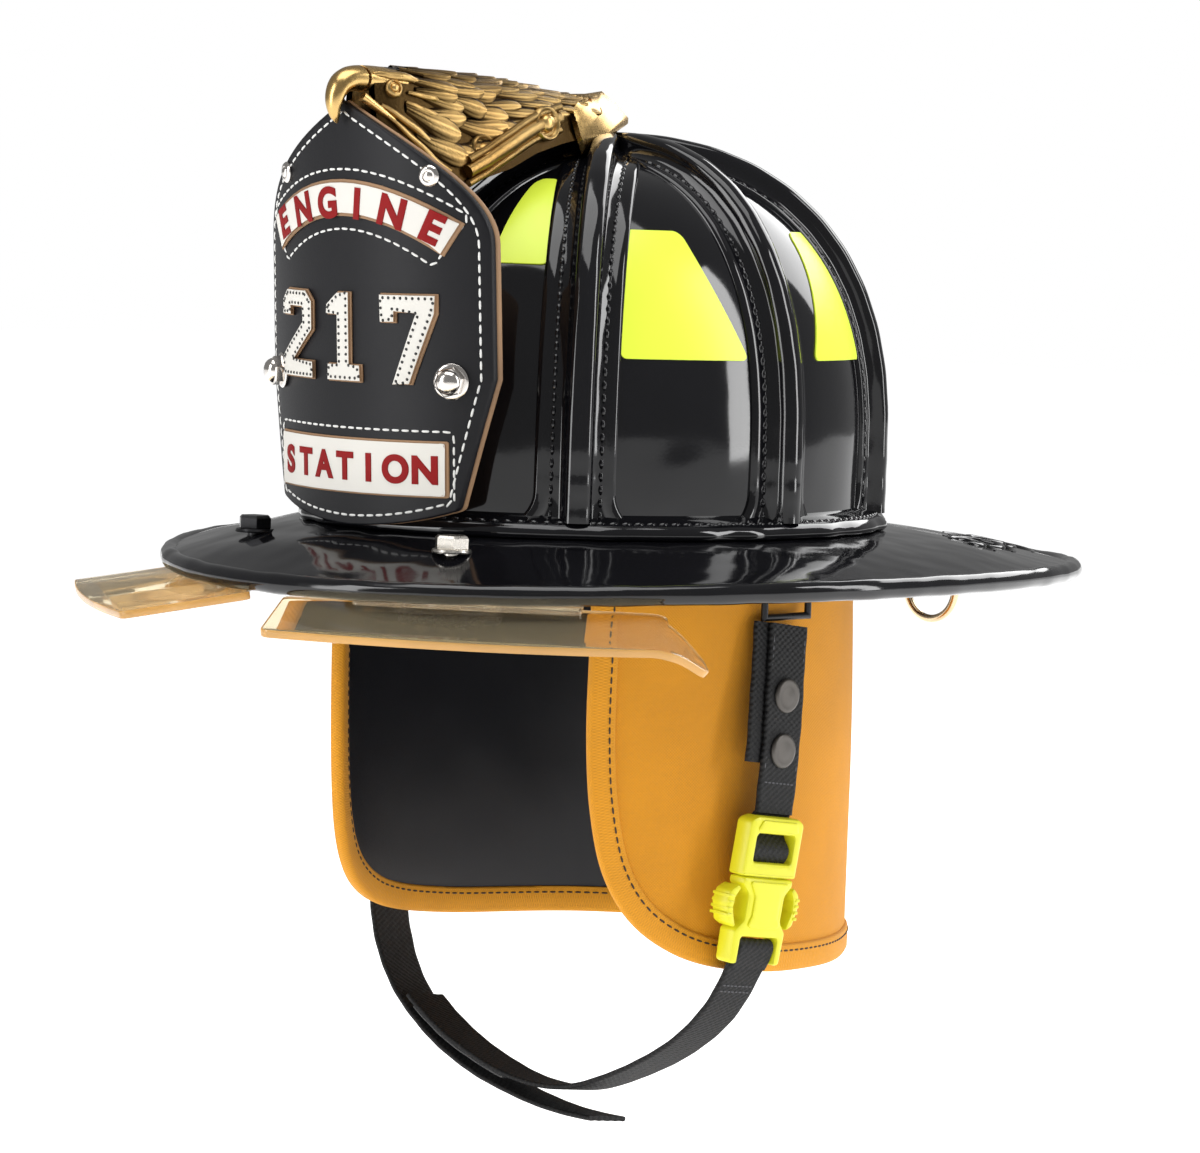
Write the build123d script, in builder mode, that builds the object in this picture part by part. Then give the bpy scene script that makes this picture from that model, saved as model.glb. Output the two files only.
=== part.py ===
"""Traditional leather firefighter helmet with a curved front shield, flip-down eyeshields,
an earlap cape and a chin strap with a quick-release buckle.  Millimetres, +Z up.
The helmet faces -Y and the wearer's left is +X.  The origin is the centre of the head opening,
in the plane where the crown meets the brim."""
import os
from math import asin, atan2, cos, degrees, pi, radians, sin, sqrt, tan

from build123d import *

os.makedirs("parts", exist_ok=True)

# ---- driving dimensions -------------------------------------------------------------------
CROWN_X, CROWN_Y, CROWN_TOP = 89.0, 111.0, 136.0     # half-axes and top of the leather panels
SPRING_LINE = 30.0                                   # the crown's walls are upright up to here
DOME_POWER = 2.4                                     # superellipse power of the crown's profile
LEATHER = 4.0                                        # leather of crown and brim
COMB_HEIGHT, COMB_WIDTH = 9.5, 8.5                   # raised ridge of a comb
COMB_SKEW = 1.0                                      # the diagonal combs stand clear of the skewed wall
WELT_HEIGHT = 6.0                                    # band round the foot of the crown
CAP_GAP, CAP_WALL = 1.0, 9.0                         # impact cap inside the panels

BRIM_SIDE, BRIM_FRONT, BRIM_REAR = 150.5, 166.5, 221.0    # half-width and reach of the brim
BRIM_DROP_SIDE, BRIM_DROP_END = 11.0, 15.5           # how far the brim's edge falls
BEAD_RADIUS = 3.5                                    # rolled edge of the brim

SHIELD_RADIUS, SHIELD_LEAN = 95.0, 3.4               # curve of the front shield, degrees forward
SHIELD_FOOT_Y, SHIELD_FOOT_Z = -124.7, 2.0
SHIELD_LEATHER, BACKING_LEATHER, PANEL_LEATHER = 2.4, 1.6, 1.3

LENS_THICKNESS, LENS_TILT, TIP_BEND = 2.8, 10.0, 36.0
HINGE_DIRECTION = 34.2                               # plan angle of the left lens hinge from +X
LENS_CENTRE = (58.5, -123.0)                         # middle of the left lens's inner edge
HINGE_Z, HINGE_OFFSET = -22.0, 4.0
PIN_RADIUS, KNUCKLE_RADIUS, RUNNING_GAP = 1.6, 3.0, 0.05

HEAD_X, HEAD_Y, HEAD_SHIFT = 73.0, 90.0, -3.0        # outside of the headband and its centre in Y
NAPE_RADIUS, NAPE_CENTRE = 58.0, 28.0                # curve of the headband at the nape
RATCHET_Z = -24.0

CAPE_X, CAPE_Y = 88.0, 108.0                         # outside of the earlap cape
CAPE_TOP, CAPE_SKIN = -4.0, 1.3
CAPE_BINDING = 9.0

STRAP_LEAN, STRAP_ORIGIN = 7.7, (0.0, 5.0, -26.0)    # the chin strap hangs in this leaning plane
WEBBING_WIDTH, WEBBING = 20.0, 1.8
BUCKLE_THICKNESS = 8.0

HOLDER_WALL = 4.0
FIT = 0.3                                            # clearance round pieces that only lie together
BOLT_AT, BOLT_RADIUS, BOLT_WASHER = (50.5, -127.0), 3.0, 7.0
BOLT_TOP, BRACKET_BOSS, BRACKET_BOSS_TOP = -4.4, 5.5, -11.4


# ---- helpers ------------------------------------------------------------------------------
def finish(builder, label):
    """Label a finished piece and write it."""
    builder.part.label = label
    export_step(builder.part, f"parts/{label}.step")


def corner_near(sketch, target):
    """The corner of a sketch that is nearest to a point."""
    return sketch.vertices().sort_by(lambda c: (Vector(c.X, c.Y, c.Z) - target).length)[0]


def plan_direction(turn):
    """Unit direction in plan at an angle of the crown's oval, from the front through the left."""
    return Vector(CROWN_X * sin(radians(turn)), -CROWN_Y * cos(radians(turn)), 0).normalized()


def crown_reach(direction, grow):
    """Distance from the centre to the crown's wall, grown outward, along a plan direction."""
    return 1 / sqrt((direction.X / (CROWN_X + grow)) ** 2 + (direction.Y / (CROWN_Y + grow)) ** 2)


def arch(reach, top, last_turn=90.0, steps=6):
    """Points of the crown's profile from the spring line up: a superellipse."""
    rise = top - SPRING_LINE
    turns = [radians(last_turn * step / steps) for step in range(steps + 1)]
    return [(reach * max(cos(t), 0) ** (2 / DOME_POWER), SPRING_LINE + rise * sin(t) ** (2 / DOME_POWER))
            for t in turns]


def upright_plane(direction):
    """The vertical plane through the centre that holds a plan direction; its Y axis points up."""
    return Plane(origin=(0, 0, 0), x_dir=direction, z_dir=direction.cross(Vector(0, 0, 1)))


def halfway(first, second):
    return (first + second).normalized()


def crescent(direction, outer, inner, base=0.0, last_turn=90.0, aside=0.0):
    """Profile of a layer of the crown in one upright plane, between two distances of growth."""
    outside = arch(crown_reach(direction, outer), CROWN_TOP + outer, last_turn)
    inside = arch(crown_reach(direction, inner), CROWN_TOP + inner, last_turn)
    plane = upright_plane(direction)
    with BuildSketch(plane.offset(-aside)) as profile:
        with BuildLine():
            Line((outside[0][0], base), outside[0])
            Spline(*outside)
            Line(outside[-1], inside[-1])
            Spline(*reversed(inside))
            Line(inside[0], (inside[0][0], base))
            Line((inside[0][0], base), (outside[0][0], base))
        make_face()
    return profile.sketch


# ---- crown: eight leather panels and eight combs --------------------------------------------
PANELS = ["front_left", "left_front", "left_rear", "rear_left",
          "rear_right", "right_rear", "right_front", "front_right"]
COMBS = ["front", "front_left", "left", "rear_left", "rear", "rear_right", "right", "front_right"]
PANEL_LAST_TURN = 87.0                               # the panels stop just short of the very top

for index, place in enumerate(PANELS):
    with BuildPart() as crown_panel:
        for part_way in (0, 0.5, 1):
            add(crescent(plan_direction(45 * (index + part_way)), 0, -LEATHER, last_turn=PANEL_LAST_TURN))
        loft()
    finish(crown_panel, f"crown_panel_{place}")

for index, place in enumerate(COMBS):
    along = plan_direction(45 * index)
    with BuildPart() as comb:
        foot = COMB_SKEW if index % 2 else 0
        profile = crescent(along, COMB_HEIGHT, foot, base=WELT_HEIGHT, aside=COMB_WIDTH / 2)
        extrude(profile, amount=COMB_WIDTH, dir=upright_plane(along).z_dir)
        for neighbour in (plan_direction(45 * (index - 1)), plan_direction(45 * (index + 1))):
            parting = halfway(along, neighbour)
            aside = (neighbour - along).normalized()
            split(bisect_by=Plane(origin=(0, 0, 0), x_dir=parting, z_dir=aside), keep=Keep.BOTTOM)
    finish(comb, f"comb_{place}")

with BuildPart() as crown_base_welt:
    with BuildSketch():
        Ellipse(CROWN_X + COMB_HEIGHT, CROWN_Y + COMB_HEIGHT)
        Ellipse(CROWN_X + 0.2, CROWN_Y + 0.2, mode=Mode.SUBTRACT)
    extrude(amount=WELT_HEIGHT)
finish(crown_base_welt, "crown_base_welt")

# ---- reflective trims: one rounded trapezoid on each panel ----------------------------------
TRIM_THICKNESS, TRIM_LIFT = 0.4, 0.5
# height of the lower and upper edge, then the turns that each edge spans
TRIMS = [(96, 126, (21, 36), (21, 31)), (64, 109, (53, 78), (54, 67)),
         (64, 110, (102, 127), (113, 126)), (64, 110, (147, 170), (150, 164))]


def level_reach(height):
    """How far the crown's profile stands out at a height, as a fraction of its wall."""
    climb = (height - SPRING_LINE) / (CROWN_TOP - SPRING_LINE)
    return (1 - climb ** DOME_POWER) ** (1 / DOME_POWER)


def trim_section(height, first_turn, last_turn):
    """Level slice of a trim: a thin strip of the crown's oval between two turns."""
    fraction = level_reach(height)
    turns = [first_turn + (last_turn - first_turn) * step / 4 for step in range(5)]
    strips = []
    for grow in (TRIM_LIFT, TRIM_LIFT + TRIM_THICKNESS):
        strips.append([((CROWN_X * fraction + grow) * sin(radians(t)),
                        -(CROWN_Y * fraction + grow) * cos(radians(t))) for t in turns])
    with BuildSketch(Plane.XY.offset(height)) as section:
        with BuildLine():
            Spline(*strips[0])
            Line(strips[0][-1], strips[1][-1])
            Spline(*reversed(strips[1]))
            Line(strips[1][0], strips[0][0])
        make_face()
    return section.sketch


with BuildPart() as reflective_trims:
    for low, high, low_turns, high_turns in TRIMS:
        with BuildPart(mode=Mode.PRIVATE) as trim:
            for climb in (0, 0.5, 1):
                first = low_turns[0] + (high_turns[0] - low_turns[0]) * climb
                last = low_turns[1] + (high_turns[1] - low_turns[1]) * climb
                add(trim_section(low + (high - low) * climb, first, last))
            loft()
        add(trim.part)
        add(trim.part.mirror(Plane.YZ))
finish(reflective_trims, "reflective_trims")

# ---- brim -----------------------------------------------------------------------------------
SEAT_X, SEAT_Y = CROWN_X + COMB_HEIGHT + 0.5, CROWN_Y + COMB_HEIGHT + 0.5    # flat seat of the crown
OPENING_X, OPENING_Y = CROWN_X - LEATHER, CROWN_Y - LEATHER


def brim_edge(turn):
    """A point of the brim's edge, turning from the front through the left side."""
    reach = BRIM_FRONT if cos(turn) > 0 else BRIM_REAR
    drop = BRIM_DROP_SIDE + (BRIM_DROP_END - BRIM_DROP_SIDE) * cos(turn) ** 2
    return Vector(BRIM_SIDE * sin(turn), -reach * cos(turn), -drop)


def brim_section(turn):
    """Slice of the brim at a turn: flat seat under the crown, then the slope out to the edge."""
    edge = brim_edge(turn)
    opening = Vector(OPENING_X * sin(turn), -OPENING_Y * cos(turn), 0)
    seat = Vector(SEAT_X * sin(turn), -SEAT_Y * cos(turn), 0)
    down = Vector(0, 0, -LEATHER)
    ring = [opening, seat, edge, edge + down, seat + down, opening + down]
    return Wire.make_polygon(ring, close=True)


EDGE_STEPS = 12
with BuildPart() as brim:
    half = Solid.make_loft([brim_section(pi * step / EDGE_STEPS) for step in range(EDGE_STEPS + 1)])
    add(half)
    add(half.mirror(Plane.YZ))
    for side in (1, -1):
        for start, radius, depth in ((BOLT_TOP, BOLT_WASHER + FIT, 20), (BOLT_TOP, BOLT_RADIUS + 0.1, -20),
                                     (BRACKET_BOSS_TOP, BRACKET_BOSS + FIT, -20)):
            with BuildSketch(Plane.XY.offset(start)):
                with Locations((side * BOLT_AT[0], BOLT_AT[1])):
                    Circle(radius)
            extrude(amount=depth, mode=Mode.SUBTRACT)
finish(brim, "brim")

BEAD_GAP = 0.1


def bead_section(turn):
    """Half-round slice of the rolled edge, its flat side on the brim's edge."""
    reach = BRIM_FRONT if cos(turn) > 0 else BRIM_REAR
    outward = Vector(sin(turn) / BRIM_SIDE, -cos(turn) / reach, 0).normalized()
    centre = brim_edge(turn) + outward * BEAD_GAP + Vector(0, 0, -LEATHER / 2)
    ring = [centre + outward * (BEAD_RADIUS * sin(a)) + Vector(0, 0, BEAD_RADIUS * cos(a))
            for a in (pi * step / 4 for step in range(5))]
    return Wire.make_polygon(ring, close=True)


with BuildPart() as brim_rolled_edge:
    half = Solid.make_loft([bead_section(pi * step / EDGE_STEPS) for step in range(EDGE_STEPS + 1)])
    add(half)
    add(half.mirror(Plane.YZ))
finish(brim_rolled_edge, "brim_rolled_edge")

# ---- front shield -----------------------------------------------------------------------------
lean = radians(SHIELD_LEAN)
shield_up = Vector(0, -sin(lean), cos(lean))
shield_forward = Vector(0, -cos(lean), -sin(lean))
shield_foot = Vector(0, SHIELD_FOOT_Y, SHIELD_FOOT_Z)
SHIELD_BASE = Plane(origin=shield_foot, x_dir=(1, 0, 0), z_dir=shield_up)
SHIELD_FACE = Plane(origin=shield_foot, x_dir=(1, 0, 0), z_dir=shield_forward)
SHIELD_HEIGHT = 150.0
SHIELD_HEEL, SHIELD_SIDE, SHIELD_SHOULDER = (44.7, 7.0), (56.0, 53.0), (55.3, 114.0)
RIVET_AT, NUT_AT = (36.0, 124.0), (43.0, 52.5)       # half-spacing and height on the shield


def curved_leather(inner, outer, outline):
    """A leather sheet bent to the shield's curve, between two distances in front of its back."""
    with BuildPart() as sheet:
        with BuildSketch(SHIELD_BASE.offset(-5)):
            with Locations((0, SHIELD_RADIUS)):
                Circle(SHIELD_RADIUS + outer)
                Circle(SHIELD_RADIUS + inner, mode=Mode.SUBTRACT)
        extrude(amount=SHIELD_HEIGHT + 10)
        extrude(outline, amount=60, dir=-shield_forward, mode=Mode.INTERSECT)
    return sheet.part


def on_shield(height, half_way, distance):
    """Plane on the shield, square to its curve, at a distance in front of its back."""
    turn = asin(half_way / SHIELD_RADIUS)
    outward = Vector(sin(turn), 0, 0) + shield_forward * cos(turn)
    axis = shield_foot + shield_up * height - shield_forward * SHIELD_RADIUS
    return Plane(origin=axis + outward * (SHIELD_RADIUS + distance), x_dir=shield_up, z_dir=outward)


def shield_outline(inset):
    with BuildSketch(SHIELD_FACE.offset(15)) as outline:
        with BuildLine():
            Spline((0, 0), (20, 1.2), SHIELD_HEEL, tangents=[(1, 0), (1, 0.45)])
            Line(SHIELD_HEEL, SHIELD_SIDE)
            Line(SHIELD_SIDE, SHIELD_SHOULDER)
            Spline(SHIELD_SHOULDER, (30, 131), (0, SHIELD_HEIGHT), tangents=[(-1, 0.35), (-1, 0.9)])
            mirror(about=Plane(SHIELD_FACE.offset(15).origin, x_dir=shield_up, z_dir=(1, 0, 0)))
        make_face()
        corners = outline.vertices().filter_by(lambda corner: abs(corner.X) > 40)
        fillet(corners, 4)
        if inset:
            offset(amount=-inset)
    return outline.sketch


with BuildPart() as holes:
    for side in (1, -1):
        for height, half_way, radius in ((RIVET_AT[1], RIVET_AT[0], 1.65), (NUT_AT[1], NUT_AT[0], 2.1)):
            with BuildSketch(on_shield(height, side * half_way, -4)):
                Circle(radius)
            extrude(amount=12)

with BuildPart() as front_shield:
    add(curved_leather(BACKING_LEATHER, BACKING_LEATHER + SHIELD_LEATHER, shield_outline(0)))
    add(holes.part, mode=Mode.SUBTRACT)
finish(front_shield, "front_shield")
with BuildPart() as shield_backing:
    add(curved_leather(0, BACKING_LEATHER, shield_outline(0)))
    add(holes.part, mode=Mode.SUBTRACT)
finish(shield_backing, "shield_backing")

FRONT = BACKING_LEATHER + SHIELD_LEATHER
PANEL_WIDTH = 100.0
with BuildSketch(SHIELD_FACE.offset(15)) as top_outline:
    with BuildLine():
        ThreePointArc((-48, 93), (0, 108), (48, 93))
        Line((48, 93), (50, 107))
        ThreePointArc((50, 107), (0, 122), (-50, 107))
        Line((-50, 107), (-48, 93))
    make_face()
with BuildPart() as shield_top_panel:
    add(curved_leather(FRONT, FRONT + PANEL_LEATHER, top_outline.sketch))
finish(shield_top_panel, "shield_top_panel")

with BuildSketch(SHIELD_FACE.offset(15)) as bottom_outline:
    with Locations((0, 21.5)):
        Rectangle(84, 20)
    fillet(bottom_outline.vertices(), 1)
with BuildPart() as shield_bottom_panel:
    add(curved_leather(FRONT, FRONT + PANEL_LEATHER, bottom_outline.sketch))
finish(shield_bottom_panel, "shield_bottom_panel")

# three leather numerals, 2 1 7, each a blocky stroke outline
NUMERAL_HEIGHT, NUMERAL_WIDTH, STROKE, NUMERAL_BASE = 32.0, 22.0, 6.5, 51.0
TWO = [(0, 0.72), (0, 0.9), (0.18, 1), (0.82, 1), (1, 0.9), (1, 0.55), (0.1, 0.1), (0.1, 0), (1, 0)]
ONE = [(0.2, 0.82), (0.5, 1), (0.5, 0), (0.15, 0), (0.85, 0)]
SEVEN = [(0, 1), (1, 1), (1, 0.8), (0.35, 0)]
with BuildPart() as shield_numerals:
    for place, route in ((-1, TWO), (0, ONE), (1, SEVEN)):
        width = NUMERAL_WIDTH - STROKE
        left = place * (NUMERAL_WIDTH + 6) - width / 2
        points = [(left + x * width, NUMERAL_BASE + STROKE / 2 + y * (NUMERAL_HEIGHT - STROKE))
                  for x, y in route]
        with BuildSketch(SHIELD_FACE.offset(15)) as glyph:
            for start, stop in zip(points, points[1:]):
                along = (Vector(*stop) - Vector(*start))
                middle = (Vector(*stop) + Vector(*start)) / 2
                with Locations(Location((middle.X, middle.Y, 0), (0, 0, degrees(atan2(along.Y, along.X))))):
                    SlotCenterToCenter(along.length, STROKE)
        add(curved_leather(FRONT, FRONT + PANEL_LEATHER, glyph.sketch))
finish(shield_numerals, "shield_numerals")

RIVET_HEAD, RIVET_RISE = 3.4, 1.6
with BuildPart() as shield_rivets:
    for side in (1, -1):
        seat = on_shield(RIVET_AT[1], side * RIVET_AT[0], FRONT + 0.1)
        with BuildSketch(seat):
            Circle(RIVET_HEAD)
        extrude(amount=RIVET_RISE)
        with BuildSketch(seat):
            Circle(1.45)
        extrude(amount=-FRONT)
    rims = shield_rivets.edges().filter_by(GeomType.CIRCLE)
    fillet(rims.filter_by(lambda e: abs(e.radius - RIVET_HEAD) < 0.01).sort_by(Axis.Y)[:2], 1.0)
finish(shield_rivets, "shield_rivets")

SCREW_RADIUS, SCREW_BACK = 2.0, 15.0
NUT_FLATS, NUT_HEIGHT, NUT_FLANGE = 9.5, 4.0, 6.0
with BuildPart() as shield_screws:
    for side in (1, -1):
        seat = on_shield(NUT_AT[1], side * NUT_AT[0], 0)
        with BuildSketch(seat.offset(FRONT + 3.0)):
            Circle(SCREW_RADIUS)
        extrude(amount=-(FRONT + 3.0))
        with BuildSketch(seat.offset(-0.3)):
            Circle(5)
        extrude(amount=-SCREW_BACK)
finish(shield_screws, "shield_screws")
with BuildPart() as shield_acorn_nuts:
    for side in (1, -1):
        seat = on_shield(NUT_AT[1], side * NUT_AT[0], FRONT + 0.1)
        with BuildSketch(seat):
            Circle(NUT_FLANGE)
        extrude(amount=1.0)
        with BuildSketch(seat.offset(1.0)):
            RegularPolygon(NUT_FLATS / 2, 6, major_radius=False)
        extrude(amount=NUT_HEIGHT)
        with BuildSketch(seat):
            Circle(SCREW_RADIUS)
        extrude(amount=3.0, mode=Mode.SUBTRACT)
finish(shield_acorn_nuts, "shield_acorn_nuts")

# ---- eagle-head holder over the front comb: a hollow brass casting ----------------------------
# each slice: its place in Y, lower edge, half-width there, shoulder height, crest half-width, crest
HOLDER_SLICES = [(-142.5, 147, 2.5, 153, 1.5, 157), (-137, 146, 5, 156, 3, 161.5),
                 (-127, 143, 9, 158, 4, 164), (-112, 141, 12, 158, 5, 163.5),
                 (-87, 132, 17, 150, 6, 162.5), (-60, 137, 17, 152, 6, 160.5),
                 (-36, 143.3, 16, 152, 6, 157.5), (-14, 145.7, 13, 152, 5, 158), (9, 145.7, 4, 149, 3, 151)]
SLOT_TOP = 152.6                                     # the shield's tip tucks into a slot below this


def holder_slice(place, low, half_foot, shoulder, half_crest, crest):
    """Roof-shaped slice of the holder across the helmet."""
    right = [(half_crest, crest), (half_foot * 0.95, shoulder), (half_foot, low)]
    ring = right + [(-x, z) for x, z in reversed(right)]
    return Wire.make_polygon([Vector(x, place, z) for x, z in ring], close=True)


with BuildPart() as eagle_holder:
    add(Solid.make_loft([holder_slice(*slice_) for slice_ in HOLDER_SLICES], ruled=True))
    with BuildPart(mode=Mode.PRIVATE) as hollow:
        inner = []
        for place, low, half_foot, shoulder, half_crest, crest in HOLDER_SLICES[3:-2]:
            inner.append(holder_slice(place, low - 8, half_foot - HOLDER_WALL, shoulder - HOLDER_WALL,
                                      max(half_crest - 2, 1), crest - HOLDER_WALL - 1))
        add(Solid.make_loft(inner, ruled=True))
    add(hollow.part, mode=Mode.SUBTRACT)
    with BuildSketch(Plane.YZ.offset(-30)):
        with BuildLine():
            Polyline((-138.3, 130), (-138.3, SLOT_TOP), (-132.4, SLOT_TOP), (-131.2, 130), close=True)
        make_face()
    extrude(amount=60, mode=Mode.SUBTRACT)
finish(eagle_holder, "eagle_holder")

# ---- rear hanging ring ------------------------------------------------------------------------
RING_Y, RING_Z, RING_WIRE, RING_HALF = 202.0, -21.5, 1.6, 12.5
with BuildPart() as rear_ring_clip:
    with BuildSketch(Plane.YZ.offset(-7)):
        with Locations((RING_Y, RING_Z)):
            Circle(KNUCKLE_RADIUS)
        with Locations((RING_Y - 8, RING_Z + KNUCKLE_RADIUS - 0.6)):
            Rectangle(16, 1.2)
        with Locations((RING_Y, RING_Z)):
            Circle(RING_WIRE + RUNNING_GAP, mode=Mode.SUBTRACT)
    extrude(amount=14)
    with BuildSketch(Plane.XY.offset(RING_Z + KNUCKLE_RADIUS - 0.2)):
        with Locations((0, RING_Y - 12)):
            Circle(3.2)
    extrude(amount=2.5)
finish(rear_ring_clip, "rear_ring_clip")

with BuildPart() as rear_ring:
    with BuildLine() as wire:
        Line((-RING_HALF, RING_Y, RING_Z), (RING_HALF, RING_Y, RING_Z))
        Line((RING_HALF, RING_Y, RING_Z), (RING_HALF, RING_Y, RING_Z - 11))
        ThreePointArc((RING_HALF, RING_Y, RING_Z - 11), (0, RING_Y, RING_Z - 11 - RING_HALF),
                      (-RING_HALF, RING_Y, RING_Z - 11))
        Line((-RING_HALF, RING_Y, RING_Z - 11), (-RING_HALF, RING_Y, RING_Z))
    with BuildSketch(Plane(origin=(0, RING_Y, RING_Z), z_dir=(1, 0, 0))):
        Circle(RING_WIRE)
    sweep(path=wire.wire(), transition=Transition.RIGHT)
finish(rear_ring, "rear_ring")

# ---- eyeshields: built on the left in the lens's own plane, mirrored for the right -------------
hinge_turn = radians(HINGE_DIRECTION)
hinge_along = Vector(cos(hinge_turn), sin(hinge_turn), 0)
hinge_out = Vector(sin(hinge_turn), -cos(hinge_turn), 0)
hinge_origin = Vector(*LENS_CENTRE, HINGE_Z) + hinge_out * HINGE_OFFSET
drop = radians(LENS_TILT)
lens_out = hinge_out * cos(drop) - Vector(0, 0, sin(drop))
LENS_PLANE = Plane(origin=hinge_origin - lens_out * HINGE_OFFSET, x_dir=hinge_along,
                   z_dir=hinge_along.cross(lens_out))
HINGE_PLANE = Plane(origin=hinge_origin, x_dir=hinge_along, z_dir=hinge_along.cross(hinge_out))
AXLE_PLANE = Plane(origin=hinge_origin, x_dir=hinge_out, z_dir=hinge_along)
LENS_BACK, KINK_INNER, KINK_OUTER = 8.0, (69.0, 8.0), (88.0, 59.0)
TIP_START, TIP_LAP = 10.0, 0.9                       # where the bent tip leaves the lens, and its overlap
TIP_CORNER, TIP_SHOULDER = (4.0, 18.0), (18.0, 15.0) # its corners: back along the kink, then outward
LUGS = ((-27.0, 4.0), (5.5, 4.0))                    # start and length of each lug along the hinge
KNUCKLES = ((-22.5, 8.0), (-2.5, 7.5))
STRIP_HALF, STRIP_THICKNESS = 40.0, 1.5

with BuildPart() as lens_left:
    with BuildSketch(LENS_PLANE.offset(-LENS_THICKNESS / 2)) as lens_face:
        with BuildLine():
            Polyline((-64, 54), (-66, LENS_BACK), KINK_INNER, KINK_OUTER)
            ThreePointArc(KINK_OUTER, (12, 60.5), (-64, 54))
        make_face()
        fillet(corner_near(lens_face, LENS_PLANE.from_local_coords(Vector(-64, 54, 0))), 9)
    extrude(amount=LENS_THICKNESS)
    kink = Vector(*KINK_OUTER) - Vector(*KINK_INNER)
    kink_along = LENS_PLANE.x_dir * kink.X + LENS_PLANE.y_dir * kink.Y
    kink_start = LENS_PLANE.from_local_coords(Vector(*KINK_INNER, 0))
    kink_across = kink_along.normalized().cross(LENS_PLANE.z_dir)
    bend = radians(TIP_BEND)
    tip_out = kink_across * cos(bend) + LENS_PLANE.z_dir * sin(bend)
    TIP_PLANE = Plane(origin=kink_start, x_dir=kink_along.normalized(),
                      z_dir=kink_along.normalized().cross(tip_out))
    with BuildSketch(TIP_PLANE.offset(-LENS_THICKNESS / 2)) as tip_face:
        side = 1 if TIP_PLANE.y_dir.dot(tip_out) > 0 else -1
        with BuildLine():
            Polyline((TIP_START, -TIP_LAP * side), (kink.length, -TIP_LAP * side),
                     (kink.length - TIP_CORNER[0], TIP_CORNER[1] * side),
                     (kink.length - TIP_SHOULDER[0], TIP_SHOULDER[1] * side), close=True)
        make_face()
        fillet(tip_face.vertices().sort_by(Axis.Z)[:2], 4)
    extrude(amount=LENS_THICKNESS)
finish(lens_left, "lens_left")

with BuildPart() as lens_strip_left:
    with BuildSketch(LENS_PLANE.offset(-LENS_THICKNESS / 2)):
        with Locations((0, 12)):
            RectangleRounded(2 * STRIP_HALF, 9, 2)
        for start, length in KNUCKLES:
            with Locations((start + length / 2, 6.5)):
                Rectangle(length, 5)
    extrude(amount=-STRIP_THICKNESS)
    for start, length in KNUCKLES:
        with BuildSketch(AXLE_PLANE.offset(start)):
            Circle(KNUCKLE_RADIUS)
        extrude(amount=length)
    with BuildSketch(AXLE_PLANE.offset(-STRIP_HALF)):
        Circle(PIN_RADIUS + RUNNING_GAP)
    extrude(amount=2 * STRIP_HALF, mode=Mode.SUBTRACT)
finish(lens_strip_left, "lens_strip_left")

BRACKET_TOP, BRACKET_PLATE = -15.0, 1.4
BOLT_FLATS, BOLT_HEAD = 11.0, 4.5
bolt_along = Vector(BOLT_AT[0], BOLT_AT[1], 0) - Vector(hinge_origin.X, hinge_origin.Y, 0)
bolt_x, bolt_y = bolt_along.dot(hinge_along), bolt_along.dot(hinge_out)
bracket_origin = (hinge_origin.X, hinge_origin.Y, BRACKET_TOP)
BRACKET_PLANE = Plane(origin=bracket_origin, x_dir=hinge_along, z_dir=(0, 0, 1))
with BuildPart() as bracket:
    with BuildSketch(BRACKET_PLANE):
        with Locations((-9, 1.5)):
            RectangleRounded(36.5, 14, 2)
    extrude(amount=-BRACKET_PLATE)
    with BuildSketch(BRACKET_PLANE):
        with Locations((bolt_x, -bolt_y)):
            Circle(BRACKET_BOSS)
    extrude(amount=BRACKET_BOSS_TOP - BRACKET_TOP)
    for start, length in LUGS:
        with BuildSketch(AXLE_PLANE.offset(start)):
            Circle(KNUCKLE_RADIUS)
            with Locations((0, (HINGE_Z - BRACKET_TOP) / 2)):
                Rectangle(2 * KNUCKLE_RADIUS, BRACKET_TOP - HINGE_Z)
        extrude(amount=length)
    with BuildSketch(AXLE_PLANE.offset(-STRIP_HALF)):
        Circle(PIN_RADIUS)
    extrude(amount=2 * STRIP_HALF, mode=Mode.SUBTRACT)
    with BuildSketch(BRACKET_PLANE.offset(-5)):
        with Locations((bolt_x, -bolt_y)):
            Circle(BOLT_RADIUS)
    extrude(amount=12, mode=Mode.SUBTRACT)
with BuildPart() as eyeshield_brackets:
    add(bracket.part)
    add(bracket.part.mirror(Plane.YZ))
finish(eyeshield_brackets, "eyeshield_brackets")

with BuildPart() as pin:
    with BuildSketch(AXLE_PLANE.offset(LUGS[0][0] - 0.5)):
        Circle(PIN_RADIUS)
    extrude(amount=LUGS[1][0] + LUGS[1][1] - LUGS[0][0] + 1)
with BuildPart() as eyeshield_hinge_pins:
    add(pin.part)
    add(pin.part.mirror(Plane.YZ))
finish(eyeshield_hinge_pins, "eyeshield_hinge_pins")

for label, piece in (("lens_right", lens_left), ("lens_strip_right", lens_strip_left)):
    with BuildPart() as mirrored:
        add(piece.part.mirror(Plane.YZ))
    finish(mirrored, label)

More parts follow.
